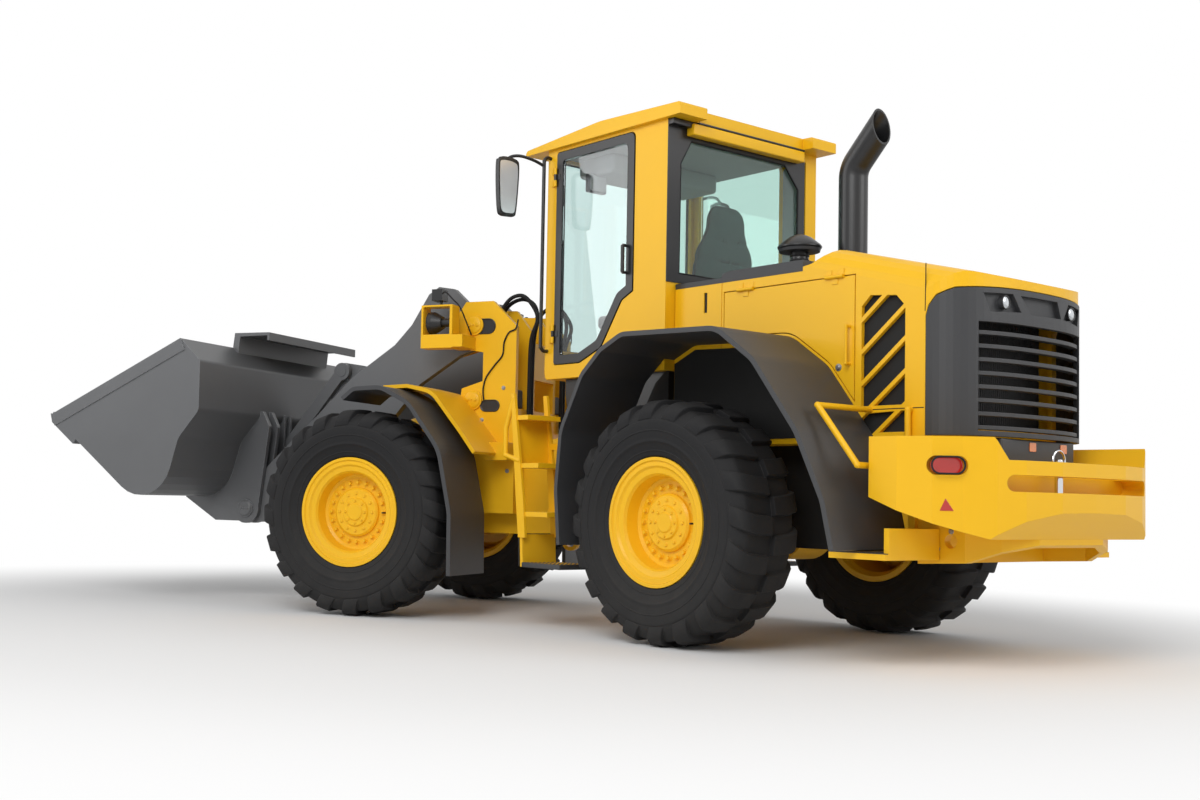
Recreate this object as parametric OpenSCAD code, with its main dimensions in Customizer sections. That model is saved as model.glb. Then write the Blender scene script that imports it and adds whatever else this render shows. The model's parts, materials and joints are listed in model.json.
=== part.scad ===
// Articulated wheel loader, left side towards +Y, millimetres.
// Both frames are laid out in machine coordinates, with x forward from the rear axle, and the front
// frame is then turned about its upright pivot pin.

/* [Stance] */
// Distance between the two axles
wheelbase = 3000; // [2900:10:3150]
// Distance between the wheel centres of one axle
track = 1960; // [1900:10:2040]
// How far the front frame is turned to the left
steer = 26.8; // [-38:0.1:38]
// Machine x of the footprint's middle, which is the model's origin
middle_x = 1885; // [1500:5:2300]
// Machine y of the footprint's middle
middle_y = 857; // [0:1:900]

/* [Wheels] */
// Radius over the lugs
tyre_r = 690; // [670:5:700]
// Width of a tyre
tyre_w = 480; // [440:10:520]
// Height of a lug above the carcass
lug_h = 30; // [20:1:40]
// Length of a lug round the tyre
lug_l = 96; // [70:2:110]
// Lugs on each side of the tread
lug_count = 20; // [16:1:24]
// Radius of the bead seat
seat_r = 318; // [300:2:330]
// Radius of the rim's flange
flange_r = 364; // [350:2:376]
// Half the width between the rim's flanges
rim_half = 190; // [170:5:205]
// Radius of the hub carrier in the wheel
spindle_r = 100; // [85:5:110]
// Radius of the axle tubes
axle_r = 120; // [100:5:140]

/* [Bucket] */
// Width of the bucket
bucket_w = 2500; // [2400:20:2600]
// Thickness of the shell
shell_t = 25; // [16:1:32]
// Thickness of the side plates
side_t = 22; // [14:1:30]
// Thickness of the ears that hold the pins
ear_t = 35; // [25:1:45]

/* [Lift linkage] */
// Machine x of the lift arm's pivot, straight ahead
arm_x = 2430; // [2410:5:2450]
// Height of the lift arm's pivot
arm_z = 2000; // [1980:5:2020]
// Machine x of the bucket pin
nose_x = 4310; // [4290:5:4330]
// Height of the bucket pin
nose_z = 686; // [670:2:700]
// Thickness of a lift arm
arm_t = 60; // [40:2:70]
// Middle of a lift arm from the centre line
arm_y = 420; // [400:5:440]
// Radius of the linkage pins
pin_r = 42; // [34:1:48]
// Running clearance round a pin
pin_gap = 0.3; // [0.2:0.05:0.5]
// Gap beside a pinned eye
side_gap = 8; // [6:1:12]
// Radius of a lift cylinder's barrel
lift_r = 72; // [60:2:80]
// Radius of a lift rod
lift_rod_r = 38; // [30:1:44]
// Radius of the tilt cylinder's barrel
tilt_r = 76; // [64:2:84]
// Radius of the tilt rod
tilt_rod_r = 40; // [32:1:46]
// Length of the bellcrank from its pivot to the rod pin
crank_arm = 450; // [420:5:460]
// Distance between a bucket ear's two pins, and between the bellcrank's pivot and the link pin
link_arm = 420; // [400:5:440]

/* [Body] */
// Half the width of the engine hood
hood_half = 620; // [600:5:640]
// Half the width of the cab
cab_half = 700; // [680:5:720]
// Height of the roof's top
roof_z = 3235; // [3200:5:3270]
// Thickness of the cab's walls and pillars
wall_t = 45; // [35:1:55]
// Thickness of the glass
glass_t = 8; // [6:1:10]
// Thickness of the hood's sheet
sheet_t = 25; // [18:1:30]
// Thickness of the fenders
fender_t = 28; // [20:1:34]
// Outer edge of the fenders from the centre line
fender_y = 1225; // [1215:5:1240]
// Radius of the handrail tubes
rail_r = 16; // [12:1:20]
// Radius of the tie-down holes
tie_r = 35; // [25:1:40]
// Radius of the exhaust pipe
stack_r = 88; // [76:2:94]
// Radius of a panel hinge's knuckles
hinge_r = 10; // [8:1:14]
// Length of a panel hinge
hinge_h = 120; // [90:5:160]
// Gap between panels
seam = 6; // [5:0.5:9]
// Clearance between pieces that rest on each other
seat_gap = 0.3; // [0.2:0.05:0.5]

/* [Hidden] */

// Colours
YELLOW = [0.96, 0.70, 0.08];
STEEL = [0.42, 0.43, 0.44];
DARK = [0.16, 0.17, 0.18];
RUBBER = [0.09, 0.09, 0.09];
GLASS = [0.62, 0.82, 0.76, 0.4];
RED = [0.72, 0.12, 0.08];
CHROME = [0.75, 0.76, 0.78];

// Stance
pivot_x = wheelbase / 2;
// A lug stands flat on the floor, so the axle is its tip's flat away from it
axle_z = sqrt(tyre_r * tyre_r - lug_l * lug_l / 4);
carcass_r = tyre_r - lug_h;

// Linkage, as points of the straight machine, x and z
ARM = [arm_x, arm_z];
NOSE = [nose_x, nose_z];
along = (NOSE - ARM) / norm(NOSE - ARM);
above = [-along[1], along[0]];
function on_arm(u, v) = ARM + u * along + v * above;
CRANK = on_arm(1500, 220);
link_angle = 100;
crank_angle = 120;
LINK_REAR = CRANK + link_arm * [cos(link_angle), sin(link_angle)];
LINK_FRONT = NOSE + link_arm * [cos(link_angle), sin(link_angle)];
TILT_EYE = CRANK + crank_arm * [cos(crank_angle), sin(crank_angle)];
LIFT_BASE = ARM - [0, 520];
LIFT_EYE = on_arm(1350, -120);
TUBE = on_arm(1650, 0);
tube_r = 105;
lift_y = 300;
crank_y = 85;
crank_t = 40;
link_y = crank_y + crank_t / 2 + side_gap + 20;
link_t = 40;
boss_r = 78;
inner_y = 190;
outer_y = arm_y + arm_t / 2 + side_gap + 20;
plate_t = 40;

// Bucket outline, x and z, from the cutting edge round the heel to the top
TIP = [5544, 1348];
HEEL = [4550, 583];
BELLY = [4373, 1175];
SHOULDER = [4203, 1371];
BACK = [4204, 1723];
CREST = [4377, 1883];

// Steering cylinders, x and y of the straight machine
STEER_BASE = [620, 490];
STEER_EYE = [1775, 385];
steer_rod_long = 775;
steer_pin_r = 24;
steer_z = 820;
steer_r = 45;
steer_rod_r = 24;

// Panel hinges
hinge_pin = 4;
hinge_leaf = 40;

// Helpers in two dimensions
function unit(v) = v / norm(v);
function arc(c, r, a0, a1, n) =
    [for (i = [0:n]) c + r * [cos(a0 + (a1 - a0) * i / n), sin(a0 + (a1 - a0) * i / n)]];
function turn(a) = a > 180 ? a - 360 : a < -180 ? a + 360 : a;
function bend(a, b, c, r, n) =
    let (u = unit(a - b), w = unit(c - b), half = acos(u * w) / 2,
         m = b + unit(u + w) * r / sin(half), s = b + u * r / tan(half) - m, e = b + w * r / tan(half) - m,
         a0 = atan2(s[1], s[0]))
    arc(m, r, a0, a0 + turn(atan2(e[1], e[0]) - a0), n);
// A path whose inner corners are rounded, each with its own radius
function rounded(p, r, n = 6) = [
    for (i = [0:len(p) - 1])
        each i == 0 || i == len(p) - 1 || r[i] == 0 ? [p[i]] : bend(p[i - 1], p[i], p[i + 1], r[i], n)
];
function normal(a, b) = let (d = unit(b - a)) [-d[1], d[0]];
function shifted(p, t) = [
    for (i = [0:len(p) - 1])
        let (n1 = normal(p[max(i - 1, 0)], p[max(i, 1)]),
             n2 = normal(p[min(i, len(p) - 2)], p[min(i + 1, len(p) - 1)]))
        p[i] + t * (n1 + n2) / (1 + n1 * n2)
];
// The corners of a closed outline, counter-clockwise, moved inwards, and the same outline rounded
function inset(c, t) = [
    for (i = [0:len(c) - 1])
        let (n1 = normal(c[(i + len(c) - 1) % len(c)], c[i]), n2 = normal(c[i], c[(i + 1) % len(c)]))
        c[i] + t * (n1 + n2) / (1 + n1 * n2)
];
function loop(c, r, n = 5) = [
    for (i = [0:len(c) - 1])
        each r[i] == 0 ? [c[i]] : bend(c[(i + len(c) - 1) % len(c)], c[i], c[(i + 1) % len(c)], r[i], n)
];
// A strip of even thickness beside a path
function strip(p, t) = let (q = shifted(p, t)) concat(p, [for (i = [len(q) - 1:-1:0]) q[i]]);

// Frames and carried shapes
module rear() translate([-middle_x, -middle_y, 0]) children();
module front()
    rear() translate([pivot_x, 0, 0]) rotate([0, 0, steer]) translate([-pivot_x, 0, 0]) children();
module both_sides() {
    children();
    mirror([0, 1, 0]) children();
}
// A side profile in x and z, carried across from y0 to y1
module across(y0, y1) translate([0, y1, 0]) rotate([90, 0, 0]) linear_extrude(y1 - y0) children();
module rod_y(p, y0, y1, r) translate([p[0], y1, p[1]]) rotate([90, 0, 0])
    cylinder(h = y1 - y0, r = r, $fn = 48);
module box(a, b) translate(a) cube(b - a);
// A round bar between two points
module bar(a, b, r, fn = 24) {
    d = b - a;
    translate(a) rotate([0, acos(d[2] / norm(d)), atan2(d[1], d[0])]) cylinder(h = norm(d), r = r, $fn = fn);
}
module ball(p, r) translate(p) sphere(r = r + 1, $fn = 24);
module tube_path(p, r) {
    for (i = [0:len(p) - 2]) bar(p[i], p[i + 1], r);
    for (i = [1:len(p) - 2]) ball(p[i], r);
}

// A hinge of three knuckles on an upright z axis: the fixed piece has the outer two and the pin.
// Its leaf lies on a face that is `drop` below the axis
module hinge(moving, drop) {
    third = hinge_h / 3;
    difference() {
        for (k = moving ? [0] : [-1, 1])
            translate([0, 0, k * third]) {
                cylinder(h = third - 2 * seat_gap, r = hinge_r, center = true, $fn = 32);
                translate([moving ? 0 : -hinge_leaf, -drop, -third / 2 + 1])
                    cube([hinge_leaf, drop - hinge_r + 4, third - 2]);
            }
        if (moving) cylinder(h = hinge_h, r = hinge_pin + pin_gap, center = true, $fn = 24);
    }
    if (!moving) cylinder(h = hinge_h - 2, r = hinge_pin, center = true, $fn = 24);
}

// Wheels
module tyre_body() {
    hw = tyre_w / 2;
    profile = [
        [seat_r + seat_gap, -rim_half + 6], [flange_r + 2, -rim_half + 6], [flange_r + 14, -rim_half - 16],
        [carcass_r * 0.68, -hw + 6], [carcass_r * 0.80, -hw], [carcass_r * 0.93, -hw + 16],
        [carcass_r, -hw + 70], [carcass_r, hw - 70], [carcass_r * 0.93, hw - 16],
        [carcass_r * 0.80, hw], [carcass_r * 0.68, hw - 6], [flange_r + 14, rim_half + 16],
        [flange_r + 2, rim_half - 6], [seat_r + seat_gap, rim_half - 6]
    ];
    rotate([90, 0, 0]) rotate_extrude($fn = 96) polygon(profile);
}
module lug() {
    hw = tyre_w / 2;
    translate([0, 0, -lug_l / 2]) linear_extrude(lug_l)
        polygon([
            [18, carcass_r - 25], [18, axle_z], [hw - 44, axle_z], [hw - 4, axle_z - 34],
            [hw, carcass_r * 0.88], [hw - 20, carcass_r * 0.86], [hw - 90, carcass_r - 25]
        ]);
}
// The lugs stand in two staggered rows, with one of each tyre's flat on the floor
module tyre() {
    pitch = 360 / lug_count;
    color(RUBBER) union() {
        tyre_body();
        for (i = [0:lug_count - 1]) {
            rotate([0, i * pitch - 90, 0]) rotate([90, 0, 90]) lug();
            rotate([0, (i + 0.5) * pitch - 90, 0]) rotate([90, 0, 90]) mirror([1, 0, 0]) lug();
        }
    }
}
// The dish holds the hub carrier deep inside the barrel, and a groove runs beside the flange
module rim() {
    dish_r = seat_r - 56;
    hub_r = spindle_r + 50;
    color(YELLOW) rotate([-90, 0, 0]) difference() {
        rotate_extrude($fn = 96) polygon([
            [0, 126], [52, 126], [60, 118], [90, 118], [98, 106], [hub_r, 104], [hub_r + 14, 92],
            [hub_r + 16, 76], [dish_r - 30, 74], [dish_r - 12, 86], [dish_r, rim_half - 30],
            [dish_r + 12, rim_half - 14], [seat_r - 14, rim_half - 8], [seat_r - 2, rim_half + 4],
            [flange_r - 24, rim_half + 4], [flange_r - 18, rim_half + 14], [flange_r, rim_half + 14],
            [flange_r, rim_half], [seat_r + 16, rim_half - 5.7], [seat_r, rim_half - 5.7],
            [seat_r, -rim_half + 5.7], [seat_r + 16, -rim_half + 5.7], [flange_r, -rim_half],
            [flange_r, -rim_half - 14], [flange_r - 34, -rim_half - 14], [seat_r - 14, -rim_half + 30],
            [seat_r - 14, rim_half - 40], [dish_r + 18, rim_half - 42], [dish_r + 6, 84],
            [dish_r - 18, 56], [hub_r, 56], [hub_r, -20], [0, -20]
        ]);
        translate([0, 0, -21]) cylinder(h = 100, r = spindle_r + pin_gap, $fn = 64);
    }
}
module wheel_at(x, side) translate([x, side * track / 2, axle_z]) mirror([0, side < 0 ? 1 : 0, 0])
    children();

// Axles: tubes, a banjo, hub carriers and the spindles that the wheels turn on
module axle_beam(x) {
    half = track / 2;
    translate([x, 0, axle_z]) {
        rotate([90, 0, 0]) cylinder(h = 2 * half - 280, r = axle_r, center = true, $fn = 48);
        both_sides() {
            translate([0, half - 40, 0]) rotate([90, 0, 0]) cylinder(h = 130, r = 176, $fn = 48);
            translate([0, half + 70, 0]) rotate([90, 0, 0]) cylinder(h = 180, r = spindle_r, $fn = 64);
            translate([0, 260, 0]) rotate([90, 0, 0]) cylinder(h = 120, r1 = axle_r + 6, r2 = 200, $fn = 48);
        }
        rotate([90, 0, 0]) cylinder(h = 280, r = 214, center = true, $fn = 64);
    }
}
module rear_axle() color(YELLOW) rear() {
    axle_beam(0);
    // Trunnions on which the axle rocks, and the drive flange
    translate([-360, 0, axle_z]) rotate([0, 90, 0]) cylinder(h = 720, r = 90, $fn = 48);
    translate([360, 0, axle_z]) rotate([0, 90, 0]) cylinder(h = 60, r = 60, $fn = 32);
}
module front_axle() color(YELLOW) front() {
    axle_beam(wheelbase);
    both_sides() box([wheelbase - 150, 262, axle_z], [wheelbase + 150, 352, frame_seat_z]);
    translate([wheelbase - 330, 0, axle_z]) rotate([0, 90, 0]) cylinder(h = 300, r = 70, $fn = 32);
}

// Front frame: hitch plates, girders, loader tower, fender carriers
frame_seat_z = axle_z + 165;
front_deck_z = 1010;
girder_z = 560;
// The girders' nose is low, under the lift cylinders' eyes when the arms are down
girder_nose_z = 840;
// Tie-down holes in eyes under the front girders and in the counterweight's chin
FRONT_TIE = [2000, 495];
tie_eye_r = 62;
REAR_TIE = [-1480, 640];
FENDER_TOP = [[2960, 1492], [2760, 1500]];
function tower_outer() = [
    [2110, 700], [2110, 1985], [2290, 2165], [2500, 2165], [2560, 2080], [2560, 1930], [2480, 1830],
    [2360, 1810], [2360, 1610], [2520, 1560], [2540, 1420], [2440, 1330], [2700, 1010], [2760, 700]
];
function tower_inner() = [
    [2110, 700], [2110, 1960], [2240, 2130], [2500, 2140], [2540, 1920], [2400, 1780],
    [2400, 1600], [2520, 1540], [2520, 1400], [2440, 1300], [2700, 1010], [2700, 700]
];
// The carrier starts on the fender's top, a seat's gap above it
function carrier_path() =
    let (top = shifted([FENDER_TOP[0], FENDER_TOP[1]], -fender_t - seat_gap))
    rounded([top[0] * 0.6 + top[1] * 0.4, top[1] + [-60, 2.4], [2520, 1490], [2290, 1210], [2200, 1090]],
            [0, 0, 160, 200, 0]);
// A flat lug from an eye to a point inside the plate that carries it
module steer_lug(eye, root, z) translate([0, 0, z]) linear_extrude(24) hull() {
    translate(eye) circle(r = 46, $fn = 32);
    translate(root) circle(r = 46, $fn = 32);
}
module hitch_plate(z, t) {
    translate([pivot_x, 0, z]) cylinder(h = t, r = 130, $fn = 64);
    box([pivot_x, -130, z], [pivot_x + 290, 130, z + t]);
}
// Bracket with a frame round the headlamp and the indicator's box under it
LAMP = [2600, 650, 2004];
module lamp_bracket() {
    across(LAMP[1] - 50, LAMP[1] + 60) translate([LAMP[0] + 20, LAMP[2]]) difference() {
        translate([-120, -180]) square([240, 298]);
        translate([-105, -86]) square([210, 192]);
    }
    box([2420, outer_y, LAMP[2] - 175], [2560, LAMP[1] + 60, LAMP[2] - 90]);
    box([2500, LAMP[1] - 50, LAMP[2] - 90], [2520, LAMP[1] + 60, LAMP[2] + 110]);
}
// A tie-down eye seated under a girder
module tie_eye() across(282, 332) difference() {
    hull() {
        translate(FRONT_TIE) circle(r = tie_eye_r, $fn = 48);
        translate([FRONT_TIE[0] - 80, girder_z - seat_gap - 40]) square([160, 40]);
    }
    translate(FRONT_TIE) circle(r = tie_r, $fn = 48);
}
module front_frame() color(YELLOW) front() {
    both_sides() tie_eye();
    main_frame();
}
module main_frame() difference() {
    union() {
        // Hitch ears above and below the rear frame's tongues, and the pins
        for (z = [500, 612, 1078, 1190]) hitch_plate(z, 40);
        for (z = [530, 1110]) translate([pivot_x, 0, z]) cylinder(h = 90, r = 50, $fn = 48);
        box([pivot_x + 250, -330, 500], [pivot_x + 300, 330, 1230]);
        both_sides() {
            across(282, 332) difference() {
                polygon([[pivot_x + 290, girder_z], [3060, girder_z], [3420, 700], [3420, girder_nose_z],
                         [2750, 1100], [pivot_x + 290, 1230]]);
                polygon([[wheelbase - 230, 500], [wheelbase + 230, 500], [wheelbase + 230, frame_seat_z],
                         [wheelbase - 230, frame_seat_z]]);
            }
            across(outer_y - plate_t / 2, outer_y + plate_t / 2) polygon(tower_outer());
            across(inner_y - plate_t / 2, inner_y + plate_t / 2) polygon(tower_inner());
            // Collars round the pins
            for (p = [ARM, LIFT_BASE])
                rod_y(p, outer_y + plate_t / 2 - 1, outer_y + plate_t / 2 + 14, 70);
            // Lift cylinder's base pin
            rod_y(LIFT_BASE, inner_y, outer_y, pin_r);
            // Fender carrier
            across(outer_y, fender_y - 260)
                polygon(strip(carrier_path(), -25));
            box([2100, outer_y, 1060], [2270, 640, 1180]);
            lamp_bracket();
        }
        // Cross walls
        box([2110, -outer_y, 700], [2150, outer_y, 1420]);
        box([2110, -outer_y, 960], [2700, outer_y, front_deck_z]);
        box([3380, -300, 700], [3420, 300, girder_nose_z - 5]);
        box([pivot_x + 290, -300, 960], [2120, 300, front_deck_z]);
        box([2110, -inner_y, 1640], [2150, inner_y, 1900]);
        // Tilt cylinder's base pin on the lift arm's axis, in two halves that end inside its eye
        both_sides() {
            rod_y(ARM, 15, inner_y - 10, pin_r);
            rod_y(ARM, inner_y - plate_t / 2 - 40, inner_y - plate_t / 2, 72);
        }
        // Steering cylinder lugs
        both_sides() for (z = [steer_z - 62, steer_z + 38])
            steer_lug(STEER_EYE, [STEER_EYE[0] + 20, 320], z);
    }
    both_sides() rod_y(ARM, inner_y - plate_t / 2, outer_y + 80, pin_r + pin_gap);
    // Room for the steering rods' eyes, which drift between their lugs
    both_sides() box([pivot_x + 225, 250, steer_z - 36], [pivot_x + 370, 340, steer_z + 36]);
    // Room for the hitch tongues
    for (z = [540, 1118]) translate([pivot_x, 0, z]) difference() {
        cylinder(h = 72, r = 215, $fn = 64);
        translate([0, 0, -1]) cylinder(h = 74, r = 50, $fn = 48);
    }
}

// Rear frame: tongues, girders, engine deck, steps
module rear_frame() color(YELLOW) rear() difference() {
    union() {
        for (z = [546, 1124]) {
            translate([pivot_x, 0, z]) cylinder(h = 60, r = 120, $fn = 64);
            box([1120, -118, z], [pivot_x, 118, z + 60]);
        }
        for (z = [546, 940]) box([1080, -410, z], [1130, 410, z == 546 ? 700 : 1184]);
        both_sides() {
            across(360, 410) difference() {
                polygon([[1130, 546], [1130, 700], [700, 745], [700, 895], [1130, 940], [1130, 1184],
                         [430, 1184], [430, 1150], [-1290, 1150], [-1290, 640], [-420, 560], [700, 546]]);
                polygon([[-300, 500], [300, 500], [230, 940], [-230, 940]]);
            }
            // Low step behind the wheel
            box([-1420, 600, 545], [-1085, 1040, 575]);
            box([-1420, 600, 545], [-1390, 1010, 700]);
            // Steering cylinder's base lugs
            for (z = [steer_z - 62, steer_z + 38])
                steer_lug(STEER_BASE, [STEER_BASE[0], 400], z);
            translate([STEER_BASE[0], STEER_BASE[1], steer_z - 70])
                cylinder(h = 140, r = steer_pin_r, $fn = 32);
        }
        // Deck and cross members
        box([-1290, -hood_half, 1140], [60, hood_half, 1165]);
        box([-1290, -hood_half, 560], [-1250, hood_half, 1150]);
        for (x = [-400, 340]) box([x, -370, axle_z - 130], [x + 60, 370, 1140]);
        box([-1150, -370, 640], [-1050, 370, 700]);
        box([-560, -370, 640], [-480, 370, 700]);
        // Cab mounts and floor beams
        box([60, -hood_half, 1140], [120, hood_half, 1165]);
        box([700, -600, 1120], [780, 600, 1184]);
        both_sides() for (x = [480, 1330]) box([x, 520, 1184], [x + 60, 600, 1250]);
        box([440, -600, 1160], [1400, 600, 1184]);
    }
    for (z = [540, 1120]) translate([pivot_x, 0, z]) cylinder(h = 80, r = 50 + pin_gap, $fn = 48);
    translate([-401, 0, axle_z]) rotate([0, 90, 0]) cylinder(h = 900, r = 90 + seat_gap, $fn = 48);
}
// The engine as one block, and the radiator that shows through the grille and the vents
module engine_block() color(DARK) rear() {
    box([-1040, -300, 700.3], [-430, 300, 1139.7]);
    box([-1040, -300, 1165.3], [-430, 300, 1700]);
    box([-1280, -540, 1165.3], [-1200, 540, 1890]);
}

// Counterweight: two lobes round a lower middle, a slot through the rear wall, recessed lamps and,
// underneath, a hollow chin
weight_x = -1290.3;
WEIGHT_SIDE = [[weight_x, 1000], [-1450, 1000], [-1600, 930], [-1700, 830], [-1800, 700], [-1860, 550],
               [-1900, 300], [-1905, 0]];
CHIN = [[weight_x, -594], [weight_x, 594], [-1560, 594], [-1700, 500], [-1780, 300], [-1780, -300],
        [-1700, -500], [-1560, -594]];
LEDGE_Z = 1040;
TAIL_LAMP = [-1650, 880, 1008];
// A y and z outline carried along x
module lengthwise(x0, x1) translate([x0, 0, 0]) rotate([90, 0, 90]) linear_extrude(x1 - x0) children();
module oval(w, h) polygon(loop([[-w / 2, -h / 2], [w / 2, -h / 2], [w / 2, h / 2], [-w / 2, h / 2]],
                               [for (i = [0:3]) h / 2 - 1], 5));
// Along the slanting face that holds the tail lamps, from one depth to another
module tail_lamp(w, h, low, high)
    translate(TAIL_LAMP) rotate([0, 0, 135]) lengthwise(low, high) oval(w, h);
module counterweight() color(YELLOW) rear() difference() {
    union() {
        intersection() {
            translate([0, 0, 630]) linear_extrude(517)
                polygon(concat(WEIGHT_SIDE, [for (i = [6:-1:0]) [WEIGHT_SIDE[i][0], -WEIGHT_SIDE[i][1]]]));
            across(-1100, 1100) polygon([
                [weight_x, 850], [weight_x, 1200], [-1960, 1200], [-1960, 850], [-1890, 780], [-1780, 660]
            ]);
        }
        intersection() {
            translate([0, 0, 500]) linear_extrude(400) difference() {
                polygon(CHIN);
                polygon([for (p = CHIN) [p[0] * 0.9 - 145, p[1] * 0.92]]);
            }
            across(-700, 700) polygon([[weight_x, 520], [weight_x, 858], [-1800, 858], [-1800, 640],
                [-1560, 535]]);
        }
    }
    // The middle is lower, under the grille
    lengthwise(-2000, -1280) polygon([[-640, LEDGE_Z], [640, LEDGE_Z], [720, 1160], [-720, 1160]]);
    // Slot through the rear wall
    translate([0, 0, 930]) lengthwise(-2000, -1700) oval(1300, 80);
    box([-1830, -560, 820], [-1700, 560, LEDGE_Z + 1]);
    // Lamp recesses
    both_sides() {
        tail_lamp(190, 92, -60, 200);
        rod_y(REAR_TIE, 500, 640, tie_r);
    }
}
module rear_lamps() color(RED) rear() both_sides() tail_lamp(150, 78, -60 + seat_gap, -22);

deck_z = 2160;
stack_x = -420;
CLEANER = [-190, 200];
// Hood: side walls with slanted vents, a crowned rear top that falls towards the grille, and the
// dark deck in front of it
hood_fall = 14.8;
hood_edge_r = 125;
HOOD_PEAK = [-747, 2205];
function hood_top() =
    rounded([[-1625, 1165], [-1625, 1978], [-1366, 2053], [-974, 2166], HOOD_PEAK, [-620, 2130],
                               [-560, 2120]], [0, 15, 60, 60, 60, 90, 0], 4);
// The hood's rear and the grille are wrapped round in plan, as a superellipse
wrap_deep = 275;
wrap_power = 1 / 1.2;
function wrap_plan(grow, x1) = concat(
    [for (x = x1 > grille_x ? [x1, grille_x] : [x1]) [x, hood_half + grow]],
    [for (a = [6:6:174]) [grille_x - (wrap_deep + grow) * pow(sin(a), wrap_power),
                          (hood_half + grow) * sign(cos(a)) * pow(abs(cos(a)), wrap_power)]],
    [for (x = x1 > grille_x ? [grille_x, x1] : [x1]) [x, -hood_half - grow]]
);
// The hood's lower edge over the grille, moved down by a gap
function arch(gap) = [for (p = [[-1345, 1780], [-1360, 1830], [-1400, 1880], [-1480, 1915], [-1700, 1935]])
                      p - [gap, gap]];
door_top = 2040;
ENGINE_DOOR = [[20, door_top], [-915, door_top], [-915, 1190], [20, 1190]];
HOOD_HINGES = [-150, -780];
GRILLE_HINGES = [1300, 1700];
grille_x = -1345;
grille_proud = 6;
module door_shape(c) difference() {
    polygon(c);
    polygon(concat(shifted(rear_fender_path(), -2 * seam), [[0, 500]]));
}
module vents() {
    difference() {
        union() {
            polygon([[-955, 1330], [-1225, 1330], [-1225, 1840], [-1170, 1900], [-1010, 1915],
                [-955, 1860]]);
            polygon([[-955, 1290], [-1225, 1300], [-1225, 1190], [-1080, 1190], [-1040, 1175],
                [-955, 1175]]);
        }
        for (i = [-2:3])
            translate([-1090, 1560 + i * 170]) rotate(-40) square([520, 22], center = true);
    }
}
module hood_hinges(moving)
    for (x = HOOD_HINGES)
        translate([x, hood_half + hinge_r, door_top - seam / 2]) rotate([0, 90, 0])
            hinge(moving, hinge_r + 0.5);
module grille_hinges(moving)
    for (z = GRILLE_HINGES)
        translate([grille_x - seam / 2, -hood_half - grille_proud - hinge_r, z]) rotate([0, 0, 180])
            hinge(moving, hinge_r + (moving ? 4 : 0.5 + grille_proud));
module hood() color(YELLOW) rear() {
    both_sides() hood_hinges(false);
    grille_hinges(false);
    difference() {
        intersection() {
            across(-hood_half - 5, hood_half + 5)
                polygon(concat(hood_top(), [[cab_x0 - seam, 2120], [cab_x0 - seam, 1165.3],
                    [-1340, 1165.3]]));
            translate([0, 0, 1100]) linear_extrude(1200) polygon(wrap_plan(0, cab_x0));
            translate([HOOD_PEAK[0], 0, HOOD_PEAK[1]]) rotate([0, -hood_fall, 0]) lengthwise(-1800, 1600)
                polygon(loop([[-hood_half, -1500], [hood_half, -1500], [hood_half, 0], [-hood_half, 0]],
                             [0, 0, hood_edge_r, hood_edge_r], 5));
        }
        // Inside
        across(-hood_half + sheet_t, hood_half - sheet_t)
            polygon([[cab_x0 - 30, 1100], [cab_x0 - 30, 2096], [-560, 2096], [-700, 2060], [-1320, 1890],
                [-1320, 1100]]);
        // Radiator mouth behind the grille
        across(-hood_half - 6, hood_half + 6) polygon(concat([[grille_x, 1100]], arch(0), [[-1700, 1100]]));
        box([-1700, -hood_half + 60, 1230], [-1300, hood_half - 60, 1840]);
        both_sides() {
            across(hood_half - sheet_t - 1, hood_half + 1) vents();
            across(hood_half - sheet_t - 1, hood_half + 1) door_shape(ENGINE_DOOR);
            // Joint beside the fixed front panel, and the slot in that panel
            box([33, hood_half - 5, 1160], [39, hood_half + 1, 2100]);
            box([152, hood_half - 14, 1930], [178, hood_half + 1, 2050]);
        }
        // Room for the deck and the stack
        box([-560, -hood_half - 6, 2095], [cab_x0, hood_half + 6, 2200]);
    }
}
module hood_deck() color(DARK) rear() {
    across(-hood_half, hood_half)
        polygon([[cab_x0 - seam, 2095.3], [cab_x0 - seam, 2128], [42, 2124], [34, 2150], [-20, deck_z],
            [-560, deck_z],
                 [-560, 2095.3]]);
    // Air precleaner
    translate([CLEANER[0], CLEANER[1], deck_z - 10]) {
        cylinder(h = 160, r = 52, $fn = 32);
        translate([0, 0, 150]) cylinder(h = 34, r1 = 118, r2 = 128, $fn = 48);
        translate([0, 0, 184]) cylinder(h = 44, r1 = 128, r2 = 74, $fn = 48);
        translate([0, 0, 228]) cylinder(h = 22, r1 = 74, r2 = 30, $fn = 48);
    }
}
module engine_door(side) color(YELLOW) rear() mirror([0, side < 0 ? 1 : 0, 0]) {
    across(hood_half - sheet_t, hood_half) difference() {
        door_shape(inset(ENGINE_DOOR, seam));
        polygon(concat(shifted(rear_fender_path(), -3 * seam), [[0, 500]]));
    }
    hood_hinges(true);
    // Loop handle on the rear edge
    tube_path([[-880, hood_half - 2, 1760], [-880, hood_half + 34, 1760], [-880, hood_half + 34, 1560],
               [-880, hood_half - 2, 1560]], 9);
}
// Grille: a wrapped panel with a mouth, across which the slats run, and lamps in slanted openings
MOUTH = [475, 1195, 1745];
module grille_ring(outer, inner) difference() {
    polygon(wrap_plan(outer, grille_x - seam));
    translate([1, 0]) polygon(wrap_plan(inner, grille_x - seam));
}
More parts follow.
